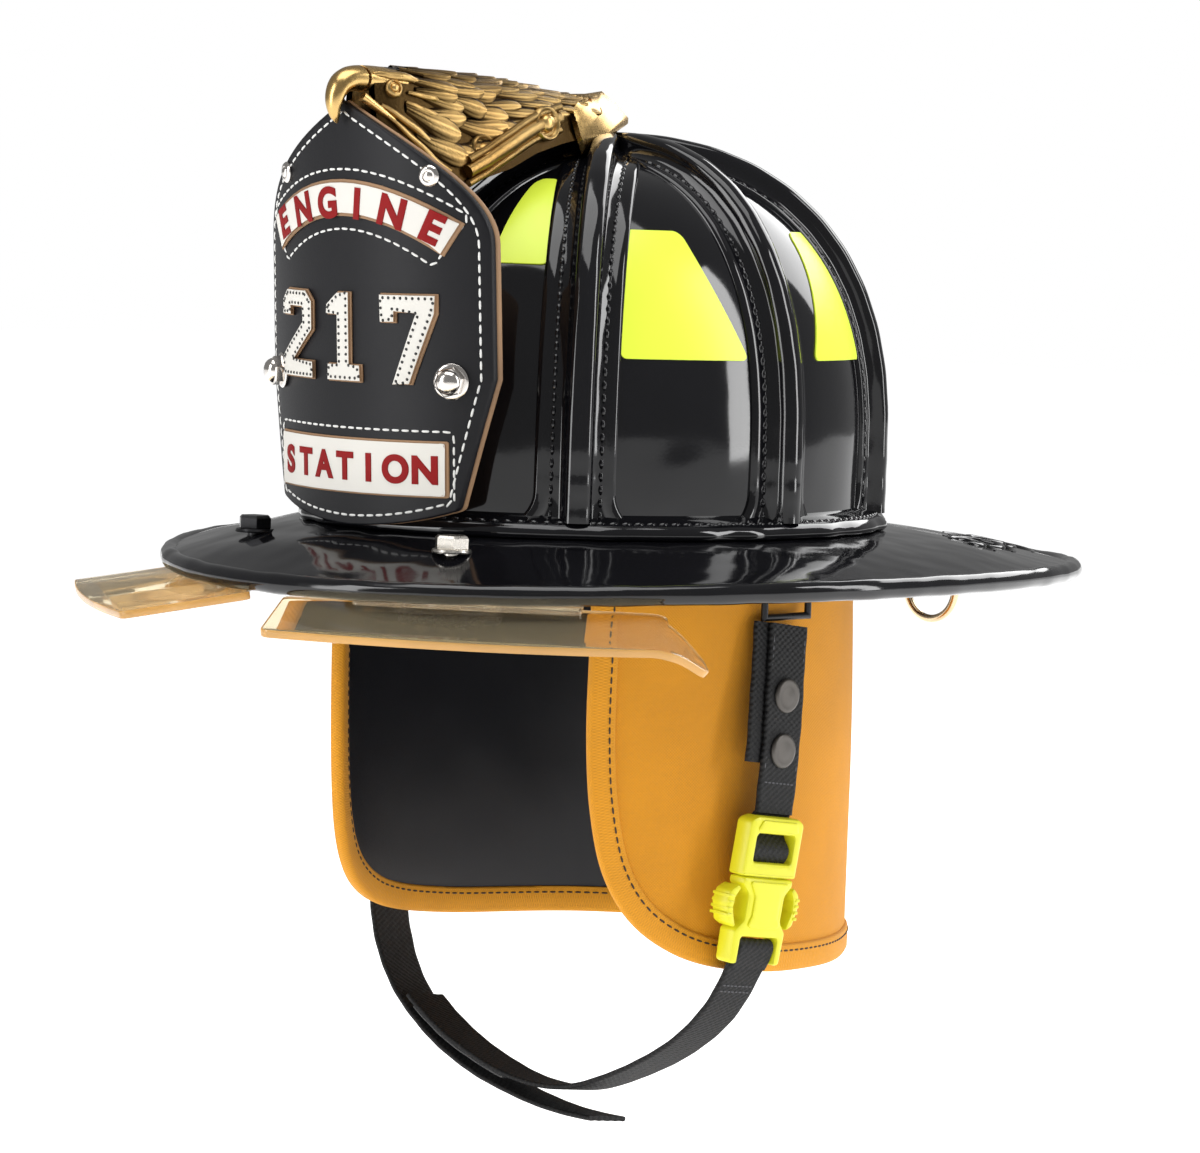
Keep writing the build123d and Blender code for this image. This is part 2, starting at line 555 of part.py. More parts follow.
BOLT_FOOT = BRACKET_TOP - BRACKET_PLATE - 3.4
with BuildPart() as brim_bolts:
    for side in (1, -1):
        with BuildSketch(Plane.XY.offset(BOLT_TOP)):
            with Locations((side * BOLT_AT[0], BOLT_AT[1])):
                Circle(BOLT_WASHER)
        extrude(amount=1.2)
        with BuildSketch(Plane.XY.offset(BOLT_TOP + 1.2)):
            with Locations((side * BOLT_AT[0], BOLT_AT[1])):
                RegularPolygon(BOLT_FLATS / 2, 6, major_radius=False)
        extrude(amount=BOLT_HEAD)
        with BuildSketch(Plane.XY.offset(BOLT_TOP)):
            with Locations((side * BOLT_AT[0], BOLT_AT[1])):
                Circle(BOLT_RADIUS)
        extrude(amount=BOLT_FOOT - BOLT_TOP)
finish(brim_bolts, "brim_bolts")
with BuildPart() as brim_nuts:
    for side in (1, -1):
        with BuildSketch(Plane.XY.offset(BOLT_FOOT)):
            with Locations((side * BOLT_AT[0], BOLT_AT[1])):
                RegularPolygon(4.5, 6, major_radius=False)
                Circle(BOLT_RADIUS, mode=Mode.SUBTRACT)
        extrude(amount=3.4)
finish(brim_nuts, "brim_nuts")

# ---- inside: impact cap, crown straps, keys, headband and its ratchet ---------------------------
CAP_BASE, KEY_TOP, KEY_LOW, KEY_REACH = 8.6, 8.3, CAPE_TOP + 0.3, 90.0
with BuildPart() as impact_cap:
    layers = (-LEATHER - CAP_GAP, -LEATHER - CAP_GAP - CAP_WALL)
    slices = [crescent(plan_direction(turn), *layers, base=CAP_BASE, last_turn=PANEL_LAST_TURN)
              for turn in (0, 36, 72, 108, 144, 180)]
    half = loft(slices).solid()
    add(half.mirror(Plane.YZ))
finish(impact_cap, "impact_cap")

STRAP_IN, CROWN_STRAP_WIDTH, CROWN_STRAP, STRAP_CROWN_TOP = 16.0, 22.0, 1.2, 109.0
KEY_TURNS = (0, 60, 120, 180, 240, 300)
with BuildPart() as crown_straps:
    for turn in KEY_TURNS[:3]:
        along = plan_direction(turn)
        reach = crown_reach(along, -STRAP_IN) - 1
        with BuildSketch(upright_plane(along).offset(-CROWN_STRAP_WIDTH / 2)) as strap_profile:
            with BuildLine():
                Line((-reach, KEY_TOP), (-reach, SPRING_LINE))
                ThreePointArc((-reach, SPRING_LINE), (0, STRAP_CROWN_TOP), (reach, SPRING_LINE))
                Line((reach, SPRING_LINE), (reach, KEY_TOP))
                Line((reach, KEY_TOP), (reach - CROWN_STRAP, KEY_TOP))
                Line((reach - CROWN_STRAP, KEY_TOP), (reach - CROWN_STRAP, SPRING_LINE))
                ThreePointArc((reach - CROWN_STRAP, SPRING_LINE), (0, STRAP_CROWN_TOP - CROWN_STRAP),
                              (CROWN_STRAP - reach, SPRING_LINE))
                Line((CROWN_STRAP - reach, SPRING_LINE), (CROWN_STRAP - reach, KEY_TOP))
                Line((CROWN_STRAP - reach, KEY_TOP), (-reach, KEY_TOP))
            make_face()
        extrude(strap_profile.sketch, amount=CROWN_STRAP_WIDTH, dir=upright_plane(along).z_dir)
finish(crown_straps, "crown_straps")

with BuildPart() as suspension_keys:
    for turn in KEY_TURNS:
        along = plan_direction(turn)
        with BuildSketch(Plane.XY.offset(KEY_LOW)):
            Ellipse(OPENING_X - FIT, OPENING_Y - FIT)
            with Locations((0, HEAD_SHIFT)):
                Ellipse(HEAD_X + FIT, HEAD_Y + FIT, mode=Mode.SUBTRACT)
            facing = degrees(atan2(along.Y, along.X))
            with Locations(Location((along.X * KEY_REACH, along.Y * KEY_REACH, 0), (0, 0, facing))):
                Rectangle(KEY_REACH, CROWN_STRAP_WIDTH, mode=Mode.INTERSECT)
        extrude(amount=KEY_TOP - KEY_LOW)
finish(suspension_keys, "suspension_keys")

HEADBAND, BAND_LOW, BAND_HIGH = 2.0, -22.0, 8.0
NAPE_HALF = 24.0                                     # half-angle of the gap at the nape


def nape_cutter(radius, half_angle):
    """Sector behind the nape's centre of curvature, as a closed outline."""
    reach = radius / cos(radians(half_angle))
    x, y = reach * sin(radians(half_angle)), reach * cos(radians(half_angle))
    return [(0, NAPE_CENTRE), (x, NAPE_CENTRE + y), (-x, NAPE_CENTRE + y)]


with BuildPart() as headband:
    with BuildSketch(Plane.XY.offset(BAND_LOW)):
        with Locations((0, HEAD_SHIFT)):
            Ellipse(HEAD_X, HEAD_Y)
            Ellipse(HEAD_X - HEADBAND, HEAD_Y - HEADBAND, mode=Mode.SUBTRACT)
        Polygon(*nape_cutter(120, NAPE_HALF), align=None, mode=Mode.SUBTRACT)
    extrude(amount=BAND_HIGH - BAND_LOW)
finish(headband, "headband")

PAD = 3.0
with BuildPart() as brow_pad:
    with BuildSketch(Plane.XY.offset(BAND_LOW + 1)):
        with Locations((0, HEAD_SHIFT)):
            Ellipse(HEAD_X - HEADBAND - 0.2, HEAD_Y - HEADBAND - 0.2)
            Ellipse(HEAD_X - HEADBAND - PAD, HEAD_Y - HEADBAND - PAD, mode=Mode.SUBTRACT)
        with Locations((0, -100)):
            Rectangle(124, 100, mode=Mode.INTERSECT)
    extrude(amount=BAND_HIGH - BAND_LOW - 3)
finish(brow_pad, "brow_pad")


def nape_arc(inner, outer, first, last, low, high):
    """A curved plate at the nape between two radii and two angles from the rear."""
    with BuildPart() as plate:
        with BuildSketch(Plane.XY.offset(low)):
            with BuildLine():
                a, b = radians(first), radians(last)
                middle = (a + b) / 2
                corner = [Vector(r * sin(t), NAPE_CENTRE + r * cos(t))
                          for r, t in ((outer, a), (outer, middle), (outer, b),
                                       (inner, b), (inner, middle), (inner, a))]
                ThreePointArc(corner[0], corner[1], corner[2])
                Line(corner[2], corner[3])
                ThreePointArc(corner[3], corner[4], corner[5])
                Line(corner[5], corner[0])
            make_face()
        extrude(amount=high - low)
    return plate.part


RACK_GAP, RACK_HEIGHT, PINION = 5.4, 5.0, 5.0
TAIL_IN, TAIL_OUT = NAPE_RADIUS + 3.0, NAPE_RADIUS + 4.6
HOUSING_IN, HOUSING_OUT = TAIL_OUT + FIT, TAIL_OUT + 2.8
TAIL_START, TAIL_STOP, TAB_START, TAB_STOP = -12.5, 40.0, 36.0, 44.0    # degrees from the rear
for side, label in ((1, "headband_tail_left"), (-1, "headband_tail_right")):
    with BuildPart() as tail:
        low = RATCHET_Z + (RACK_GAP if side == 1 else -RACK_GAP - RACK_HEIGHT)
        add(nape_arc(TAIL_IN, TAIL_OUT, TAIL_START * side, TAIL_STOP * side, low, low + RACK_HEIGHT))
        tab_low, tab_high = RATCHET_Z - RACK_GAP - RACK_HEIGHT, RATCHET_Z + RACK_GAP + RACK_HEIGHT
        add(nape_arc(TAIL_IN, TAIL_OUT, TAB_START * side, TAB_STOP * side, tab_low, tab_high))
    finish(tail, label)

with BuildPart() as ratchet_housing:
    add(nape_arc(HOUSING_IN, HOUSING_OUT, -26, 26, RATCHET_Z - 15, RATCHET_Z + 15))
    add(nape_arc(TAIL_IN - FIT - 1.5, TAIL_IN - FIT, -26, 26, RATCHET_Z - 15, RATCHET_Z + 15))
    for low in (RATCHET_Z - 15, RATCHET_Z + 12):
        add(nape_arc(TAIL_IN - FIT - 0.1, HOUSING_IN + 0.1, -25, 25, low, low + 3))
    with BuildSketch(Plane.XZ.offset(-NAPE_CENTRE - HOUSING_OUT - 5)):
        with Locations((0, RATCHET_Z)):
            Circle(4 + RUNNING_GAP)
    extrude(amount=8.2, mode=Mode.SUBTRACT)
finish(ratchet_housing, "ratchet_housing")

KNOB_RADIUS, KNOB_DEPTH = 16.0, 9.0
with BuildPart() as ratchet_knob:
    knob_face = NAPE_CENTRE + HOUSING_OUT + FIT
    with BuildSketch(Plane.XZ.offset(-knob_face)):
        with Locations((0, RATCHET_Z)):
            Circle(KNOB_RADIUS)
            with PolarLocations(KNOB_RADIUS + 1.6, 10):
                Circle(3, mode=Mode.SUBTRACT)
    extrude(amount=-KNOB_DEPTH)
    with BuildSketch(Plane.XZ.offset(-knob_face)):
        with Locations((0, RATCHET_Z)):
            Circle(4)
    extrude(amount=knob_face - NAPE_CENTRE - TAIL_OUT)
    with BuildSketch(Plane.XZ.offset(-NAPE_CENTRE - TAIL_OUT)):
        with Locations((0, RATCHET_Z)):
            Circle(PINION)
    extrude(amount=TAIL_OUT - TAIL_IN)
finish(ratchet_knob, "ratchet_knob")

# ---- earlap cape: outer cloth, lining and the binding round their edge --------------------------
CAPE_LOW, CAPE_FRONT_TOP, CAPE_FRONT_LOW = -161.0, -71.0, -64.0


def cape_side(inset):
    """Side view of the cape, in front-to-back and height, inset from its free edge."""
    with BuildSketch(Plane.YZ.offset(-120)) as side:
        with BuildLine():
            Polyline((120, CAPE_LOW - 3 + inset), (120, CAPE_TOP), (CAPE_FRONT_TOP + inset, CAPE_TOP),
                     (CAPE_FRONT_TOP + inset, -70))
            Spline((CAPE_FRONT_TOP + inset, -70), (CAPE_FRONT_LOW + inset * 0.95, -122),
                   (-30 + inset * 0.5, -152 + inset * 0.85), (20, CAPE_LOW + inset),
                   tangents=[(0, -1), (1, -0.03)])
            Line((20, CAPE_LOW + inset), (120, CAPE_LOW - 3 + inset))
        make_face()
    return side.sketch


def cape_layer(outside, inside, side):
    with BuildPart() as layer:
        with BuildSketch(Plane.XY.offset(-170)):
            Ellipse(CAPE_X - outside, CAPE_Y - outside)
            Ellipse(CAPE_X - inside, CAPE_Y - inside, mode=Mode.SUBTRACT)
        extrude(amount=170 + CAPE_TOP)
        extrude(side, amount=240, dir=(1, 0, 0), mode=Mode.INTERSECT)
    return layer.part


CLOTH = 0.1                                          # gap between the two cloths
for label, outside, inside in (("earlap_outer", 0, CAPE_SKIN),
                               ("earlap_lining", CAPE_SKIN + CLOTH, 2 * CAPE_SKIN + CLOTH)):
    with BuildPart() as cloth:
        add(cape_layer(outside, inside, cape_side(CAPE_BINDING)))
    finish(cloth, label)
with BuildPart() as earlap_binding:
    add(cape_layer(0, 2 * CAPE_SKIN + CLOTH, cape_side(0)))
    add(cape_layer(-1, 2 * CAPE_SKIN + CLOTH + 1, cape_side(CAPE_BINDING)), mode=Mode.SUBTRACT)
finish(earlap_binding, "earlap_binding")

# ---- chin strap, drawn in its leaning plane ------------------------------------------------------
lean_back = radians(STRAP_LEAN)
STRAP_PLANE = Plane(origin=STRAP_ORIGIN, x_dir=(1, 0, 0), z_dir=(0, -cos(lean_back), sin(lean_back)))
HANGER_X, HANGER_Y, HANGER_WIRE, HANGER_HALF, HANGER_FOOT = 91.5, 5.0, 1.3, 12.0, -28.5


def across(x, v):
    """Point of the strap's plane."""
    return STRAP_PLANE.from_local_coords(Vector(x, v, 0))


with BuildPart() as strap_hangers:
    for side in (1, -1):
        x = side * HANGER_X
        front, back, high = HANGER_Y - HANGER_HALF, HANGER_Y + HANGER_HALF, CAPE_TOP - 2.2
        corners = [Vector(x, y, z) for y, z in ((front, high), (front, HANGER_FOOT),
                                                (back, HANGER_FOOT), (back, high))]
        feet = [corners[0] + Vector(0, -7, 0), corners[3] + Vector(0, 7, 0)]
        with BuildLine() as wire:
            Polyline(feet[0], *corners, feet[1])
        with BuildSketch(Plane(origin=feet[0], z_dir=(0, 1, 0))):
            Circle(HANGER_WIRE)
        sweep(path=wire.wire(), transition=Transition.RIGHT)
finish(strap_hangers, "strap_hangers")


def webbing(points, radii, thickness):
    """A flat strap along a route in the strap's plane: straight runs joined by arcs."""
    with BuildPart() as strap:
        with BuildLine(STRAP_PLANE) as route:
            FilletPolyline(*points, radius=radii)
        start = route.wire() @ 0
        heading = route.wire() % 0
        with BuildSketch(Plane(origin=start, x_dir=STRAP_PLANE.z_dir, z_dir=heading)):
            Rectangle(WEBBING_WIDTH, thickness)
        sweep(path=route.wire())
    return strap.part


def bend_radii(points):
    """An arc as large as its two runs allow at each inner point of a route."""
    radii = []
    for before, here, after in zip(points, points[1:], points[2:]):
        first, second = Vector(*here) - Vector(*before), Vector(*after) - Vector(*here)
        turn = radians(first.get_angle(second))
        radii.append(0.45 * min(first.length, second.length) / tan(turn / 2))
    return radii


# the strap above the buckle, folded double over the hanger
UPPER_ROUTE = [(92.5, -5.5), (94.5, -28), (96.5, -53), (96.5, -74)]
UPPER_THICKNESS = 2 * WEBBING
with BuildPart() as left_upper_strap:
    add(webbing(UPPER_ROUTE, bend_radii(UPPER_ROUTE), UPPER_THICKNESS))
finish(left_upper_strap, "left_upper_strap")

SNAP_RADIUS, SNAP_RISE = 6.0, 1.8
with BuildPart() as strap_snaps:
    for v, x in ((-31.0, 95.0), (-51.0, 96.4)):
        face = across(x + UPPER_THICKNESS / 2 + 0.15, v)
        seat = Plane(origin=face, x_dir=STRAP_PLANE.z_dir, z_dir=(1, 0, 0))
        with BuildSketch(seat):
            Circle(SNAP_RADIUS)
        extrude(amount=SNAP_RISE)
finish(strap_snaps, "strap_snaps")

# the buckle's own plane: Y up along the buckle, Z outward; its middle line leans in a little
BUCKLE_TOP, BUCKLE_FOOT = (98.0, -75.0), (94.5, -129.0)
buckle_up = (across(*BUCKLE_TOP) - across(*BUCKLE_FOOT)).normalized()
BUCKLE = Plane(origin=across(*BUCKLE_TOP), x_dir=STRAP_PLANE.z_dir * -1,
               z_dir=(STRAP_PLANE.z_dir * -1).cross(buckle_up))
BUCKLE_LENGTH = (Vector(*BUCKLE_TOP) - Vector(*BUCKLE_FOOT)).length
FRAME_WIDTH, FRAME_LENGTH, FRAME_CORNER = 29.5, 22.0, 6.0
WINDOW, WINDOW_DOWN = (21.0, 10.5), -11.5
TONGUE_WIDTH, TONGUE_LENGTH, TONGUE_THICKNESS = 13.0, 20.0, 3.0
PARTING = -FRAME_LENGTH - FIT

with BuildPart() as buckle_upper:
    with BuildSketch(BUCKLE.offset(-BUCKLE_THICKNESS / 2)):
        with Locations((0, -FRAME_LENGTH / 2)):
            Rectangle(FRAME_WIDTH, FRAME_LENGTH)
        with Locations((0, WINDOW_DOWN)):
            Rectangle(*WINDOW, mode=Mode.SUBTRACT)
    extrude(amount=BUCKLE_THICKNESS)
    fillet(buckle_upper.edges().filter_by(Axis((0, 0, 0), BUCKLE.z_dir)).sort_by(Axis.Z)[-2:], FRAME_CORNER)
    with BuildSketch(BUCKLE.offset(-TONGUE_THICKNESS / 2)):
        with Locations((0, -FRAME_LENGTH - TONGUE_LENGTH / 2)):
            Rectangle(TONGUE_WIDTH, TONGUE_LENGTH)
    extrude(amount=TONGUE_THICKNESS)
finish(buckle_upper, "buckle_upper")

PLATE_TOP, PLATE_LOW, LEG_FOOT = 27.0, 20.0, -BUCKLE_LENGTH
PLATE_FOOT = -44.0
with BuildPart() as buckle_lower:
    with BuildSketch(BUCKLE.offset(-BUCKLE_THICKNESS / 2)):
        with BuildLine():
            Polyline((-PLATE_TOP / 2, PARTING), (PLATE_TOP / 2, PARTING), (PLATE_TOP / 2, PARTING - 2.5),
                     (PLATE_LOW / 2, PARTING - 6), (PLATE_LOW / 2, -38), (14, PLATE_FOOT + 2),
                     (13.5, LEG_FOOT), (10.2, LEG_FOOT), (10.2, PLATE_FOOT), (-10.2, PLATE_FOOT), (-10.2, LEG_FOOT),
                     (-13.5, LEG_FOOT), (-14, PLATE_FOOT + 2), (-PLATE_LOW / 2, -38),
                     (-PLATE_LOW / 2, PARTING - 6), (-PLATE_TOP / 2, PARTING - 2.5), close=True)
        make_face()
    extrude(amount=BUCKLE_THICKNESS)
    with BuildSketch(BUCKLE.offset(-TONGUE_THICKNESS / 2 - FIT)):
        with Locations((0, PARTING - TONGUE_LENGTH / 2)):
            Rectangle(TONGUE_WIDTH + 2 * FIT, TONGUE_LENGTH + 2 * FIT)
    extrude(amount=TONGUE_THICKNESS + 2 * FIT, mode=Mode.SUBTRACT)
    with BuildSketch(BUCKLE.offset(-1.5)):
        with Locations((0, PLATE_FOOT - 4.5)):
            Rectangle(21, 3)
    extrude(amount=3)
finish(buckle_lower, "buckle_lower")

ARM_PIVOT, ARM_KNUCKLE = (14.6, -40.5), 1.2
for label, way in (("buckle_arm_front", -1), ("buckle_arm_rear", 1)):
    with BuildPart() as arm:
        with BuildSketch(BUCKLE.offset(-BUCKLE_THICKNESS / 2)):
            with BuildLine():
                Polyline((way * 13.7, -41.0), (way * 17.5, -39), (way * 19.5, -32), (way * 18.5, -28),
                         (way * 15.5, -25.6), (way * 14, -26.6), (way * 16.2, -30), (way * 16.5, -34),
                         close=True)
            make_face()
            with Locations((way * ARM_PIVOT[0], ARM_PIVOT[1])):
                Circle(ARM_KNUCKLE)
        extrude(amount=BUCKLE_THICKNESS)
    finish(arm, label)

# lower strap from the buckle to its rounded end, and the strap from the right hanger to its tail
LEFT_ROUTE = [(94.3, -127), (90, -139), (80, -153.5), (65, -166), (44, -177.5), (20, -187), (-6, -187),
              (-30, -181), (-52, -172.5), (-66, -163.5)]
RIGHT_ROUTE = [(-92.5, -5.5), (-95.5, -38), (-96.5, -72), (-96.5, -106), (-92, -134), (-80, -157),
               (-59, -174), (-33, -186), (-5, -192.5), (20, -195.5), (36, -195)]
with BuildPart() as chin_strap_left:
    add(webbing(LEFT_ROUTE, bend_radii(LEFT_ROUTE), WEBBING))
finish(chin_strap_left, "chin_strap_left")
with BuildPart() as chin_strap_right:
    add(webbing(RIGHT_ROUTE, bend_radii(RIGHT_ROUTE), WEBBING))
finish(chin_strap_right, "chin_strap_right")
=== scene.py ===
"""Traditional leather firefighter helmet.  Lengths in the helpers are millimetres; +Z up, the helmet
faces -Y, the wearer's left is +X and the origin is the centre of the head opening."""
import random
from math import atan2, ceil, cos, hypot, pi, radians, sin, sqrt, tan

import bmesh
import bpy
from mathutils import Matrix, Vector


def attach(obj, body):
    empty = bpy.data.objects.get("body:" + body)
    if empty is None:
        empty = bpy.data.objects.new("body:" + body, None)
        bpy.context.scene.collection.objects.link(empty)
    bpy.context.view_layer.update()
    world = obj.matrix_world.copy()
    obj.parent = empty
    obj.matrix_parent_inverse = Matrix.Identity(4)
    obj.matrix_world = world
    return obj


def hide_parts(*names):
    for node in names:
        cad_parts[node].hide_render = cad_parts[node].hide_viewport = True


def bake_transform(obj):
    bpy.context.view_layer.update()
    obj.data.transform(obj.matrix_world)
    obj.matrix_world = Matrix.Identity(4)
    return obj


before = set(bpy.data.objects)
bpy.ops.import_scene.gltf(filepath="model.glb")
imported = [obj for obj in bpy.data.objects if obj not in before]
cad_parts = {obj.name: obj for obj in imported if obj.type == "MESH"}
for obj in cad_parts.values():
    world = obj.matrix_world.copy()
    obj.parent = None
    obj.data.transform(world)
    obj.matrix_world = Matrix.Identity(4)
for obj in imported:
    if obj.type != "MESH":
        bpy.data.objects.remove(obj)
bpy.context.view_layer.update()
MM = 0.001
rng = random.Random(7)

# ---- camera --------------------------------------------------------------------------------------
AZIMUTH, RISE, ROLL, DISTANCE = radians(43), radians(4.5), radians(2), 1.7
SHIFT_RIGHT, SHIFT_DOWN = 0.0015, 0.0209
back = Vector((sin(AZIMUTH) * cos(RISE), -cos(AZIMUTH) * cos(RISE), sin(RISE)))
level = Vector((cos(AZIMUTH), sin(AZIMUTH), 0))
above = back.cross(level)
cam_right = level * cos(ROLL) + above * sin(ROLL)
cam_up = above * cos(ROLL) - level * sin(ROLL)
camera = bpy.data.objects.new("camera", bpy.data.cameras.new("camera"))
bpy.context.scene.collection.objects.link(camera)
camera.data.lens, camera.data.sensor_width = 135.66, 36
camera.data.clip_start, camera.data.clip_end = 0.05, 30
camera.location = back * DISTANCE + cam_right * SHIFT_RIGHT - cam_up * SHIFT_DOWN
camera.rotation_mode = "QUATERNION"
axes = Matrix([[axis[i] for axis in (cam_right, cam_up, back)] for i in range(3)])
camera.rotation_quaternion = axes.to_quaternion()
bpy.context.scene.camera = camera


# ---- finishes ------------------------------------------------------------------------------------
def wired(tree, kind, feeds, **settings):
    """A shader node; feeds gives each input its value or the output that it takes."""
    node = tree.nodes.new(kind)
    for name, value in settings.items():
        setattr(node, name, value)
    for socket, value in feeds.items():
        if isinstance(value, bpy.types.NodeSocket):
            tree.links.new(value, node.inputs[socket])
        else:
            node.inputs[socket].default_value = value
    return node


def weave_height(tree, uv, weave, grain):
    """Height of crossing threads, so many per metre along each UV axis, roughened by the grain."""
    split = wired(tree, "ShaderNodeSeparateXYZ", {0: uv})
    threads = []
    for axis, count in zip(("X", "Y"), weave):
        scale = wired(tree, "ShaderNodeMath", {0: split.outputs[axis], 1: 2 * pi * count},
                      operation="MULTIPLY")
        threads.append(wired(tree, "ShaderNodeMath", {0: scale.outputs[0]}, operation="SINE").outputs[0])
    cross = wired(tree, "ShaderNodeMath", {0: threads[0], 1: threads[1]}, operation="MULTIPLY")
    both = wired(tree, "ShaderNodeMath", {0: cross.outputs[0], 1: 0.5, 2: grain}, operation="MULTIPLY_ADD")
    return both.outputs[0]


def finish_of(name, colour, rough, metal=0.0, spread=0.25, grain=250.0, bump=0.05, rough_spread=0.08,
              coat=0.0, sheen=0.0, clear=0.0, weave=None, second=None, spec=0.5, glow=0.0, waves=None,
              relief=False, ior=1.5):
    """A procedural finish.  weave is threads per metre in UV; waves is (scale, distance) of a soft swell."""
    mat = bpy.data.materials.new(name)
    mat.use_nodes = True
    tree = mat.node_tree
    surface = tree.nodes["Principled BSDF"]
    place = tree.nodes.new("ShaderNodeTexCoord").outputs

    def noise(scale, detail):
        feeds = {"Vector": place["Object"], "Scale": scale, "Detail": detail}
        return wired(tree, "ShaderNodeTexNoise", feeds).outputs["Fac"]

    def mapped(value, **ends):
        feeds = {label.replace("_", " "): end for label, end in ends.items()}
        return wired(tree, "ShaderNodeMapRange", {"Value": value, **feeds}).outputs["Result"]

    def mixed(share, first, last, **settings):
        feeds = {0: share, 6: first, 7: last}
        return wired(tree, "ShaderNodeMix", feeds, data_type="RGBA", **settings).outputs[2]

    fine = noise(grain, 6.0)
    dark = second or tuple(c * (1 - spread) for c in colour)
    patches = mapped(noise(22.0, 3.0), From_Min=0.35, From_Max=0.65)
    tint = mixed(patches, (*dark, 1), (*colour, 1))
    smooth, coarse = max(rough - rough_spread, 0.01), rough + rough_spread
    tree.links.new(mapped(fine, To_Min=smooth, To_Max=coarse), surface.inputs["Roughness"])
    height = fine
    if weave:
        height = weave_height(tree, place["UV"], weave, fine)
        # painted shade: the low places between the threads are darkened
        thread_gap_shade = mapped(height, From_Min=1.0, From_Max=-0.2, To_Max=0.6)
        tint = mixed(thread_gap_shade, tint, (0.62, 0.62, 0.62, 1), blend_type="MULTIPLY")
    # painted shade: a per-point attribute of the mesh darkens the colour towards near-black brown where it is
    # low
    if relief:
        depth = wired(tree, "ShaderNodeAttribute", {}, attribute_name="relief")
        tint = mixed(depth.outputs["Fac"], (0.022, 0.011, 0.003, 1), tint)
    tree.links.new(tint, surface.inputs["Base Color"])
    bumps = wired(tree, "ShaderNodeBump", {"Strength": 1.0, "Distance": bump * MM, "Height": height})
    if waves:
        feeds = {"Strength": 1.0, "Distance": waves[1] * MM, "Height": noise(waves[0], 1.0)}
        tree.links.new(wired(tree, "ShaderNodeBump", feeds).outputs["Normal"], bumps.inputs["Normal"])
    tree.links.new(bumps.outputs["Normal"], surface.inputs["Normal"])
    surface.inputs["Metallic"].default_value = metal
    surface.inputs["Coat Weight"].default_value = coat
    surface.inputs["Coat Roughness"].default_value = 0.04
    surface.inputs["Sheen Weight"].default_value = sheen
    surface.inputs["Transmission Weight"].default_value = clear
    surface.inputs["IOR"].default_value = ior
    surface.inputs["Specular IOR Level"].default_value = spec
    if glow:
        surface.inputs["Emission Color"].default_value = (*colour, 1)
        surface.inputs["Emission Strength"].default_value = glow
    return mat


ENAMEL = finish_of("black_enamel", (0.005, 0.005, 0.0065), 0.07, spread=0.3, grain=900, bump=0.004,
                   rough_spread=0.02, waves=(26, 1.0))
BRIM_ENAMEL = finish_of("brim_enamel", (0.0055, 0.0055, 0.007), 0.10, spread=0.3, grain=700, bump=0.006,
                        rough_spread=0.03, waves=(45, 0.9))
SATIN = finish_of("satin_leather", (0.0055, 0.0055, 0.0075), 0.44, spread=0.2, grain=1500, bump=0.03,
                  rough_spread=0.05, spec=0.24)
TAN = finish_of("tan_leather", (0.36, 0.21, 0.11), 0.7, spread=0.35, grain=800, bump=0.06)
WHITE = finish_of("white_leather", (0.72, 0.70, 0.65), 0.5, spread=0.06, grain=1300, bump=0.03)
RED = finish_of("red_leather", (0.26, 0.003, 0.004), 0.6, spread=0.2, grain=1300, bump=0.02, spec=0.2)
WHITE_THREAD = finish_of("white_thread", (0.80, 0.80, 0.78), 0.65, spread=0.08, grain=3000, bump=0.05)
BLACK_THREAD = finish_of("black_thread", (0.012, 0.012, 0.012), 0.35, spread=0.2, grain=3000, bump=0.04,
                         coat=0.3)
BROWN_THREAD = finish_of("brown_thread", (0.045, 0.022, 0.008), 0.7, spread=0.3, grain=3000, bump=0.04)
# the emission gives the trims a painted glow
LIME = finish_of("fluorescent_lime", (0.68, 0.84, 0.055), 0.34, spread=0.05, grain=2500, bump=0.012,
                 glow=0.26)
NICKEL = finish_of("nickel", (0.74, 0.70, 0.66), 0.16, metal=1, spread=0.1, grain=900, bump=0.004)
BLACK_STEEL = finish_of("black_steel", (0.02, 0.02, 0.022), 0.3, metal=0.6, spread=0.2, grain=900, bump=0.01)
# antique brass, darkened by the painted shade stored on the casting's points
OLD_BRASS = finish_of("antique_brass", (0.66, 0.44, 0.17), 0.34, metal=1, spread=0.45, grain=1100, bump=0.14,
                      second=(0.42, 0.25, 0.08), relief=True)
BRASS = finish_of("polished_brass", (0.68, 0.45, 0.17), 0.27, metal=1, spread=0.18, grain=600, bump=0.02)
AMBER = finish_of("amber_polycarbonate", (0.97, 0.85, 0.60), 0.02, spread=0.03, grain=300, bump=0.001,
                  rough_spread=0.008, clear=0.93, ior=1.13)
# the emission gives the lens edge a painted glow
AMBER_EDGE = finish_of("amber_edge", (0.72, 0.40, 0.12), 0.2, spread=0.25, grain=300, bump=0.01,
                       clear=0.25, glow=0.06)
CLEAR = finish_of("clear_polycarbonate", (0.96, 0.93, 0.88), 0.08, spread=0.05, grain=300, bump=0.004,
                  clear=0.9)
GOLD_CLOTH = finish_of("gold_cloth", (0.76, 0.305, 0.002), 0.8, spread=0.12, grain=900, bump=0.12,
                       weave=(900, 900), sheen=0.05)
GOLD_TAPE = finish_of("gold_tape", (0.79, 0.325, 0.003), 0.75, spread=0.12, grain=900, bump=0.12,
                      weave=(1000, 700), sheen=0.05)
LINING = finish_of("black_lining", (0.010, 0.0105, 0.014), 0.42, spread=0.2, grain=900, bump=0.03,
                   weave=(1600, 1600), waves=(18, 2.2))
WEBBING = finish_of("black_webbing", (0.0065, 0.0065, 0.007), 0.62, spread=0.2, grain=2200, bump=0.32,
                    weave=(430, 330), spec=0.35)
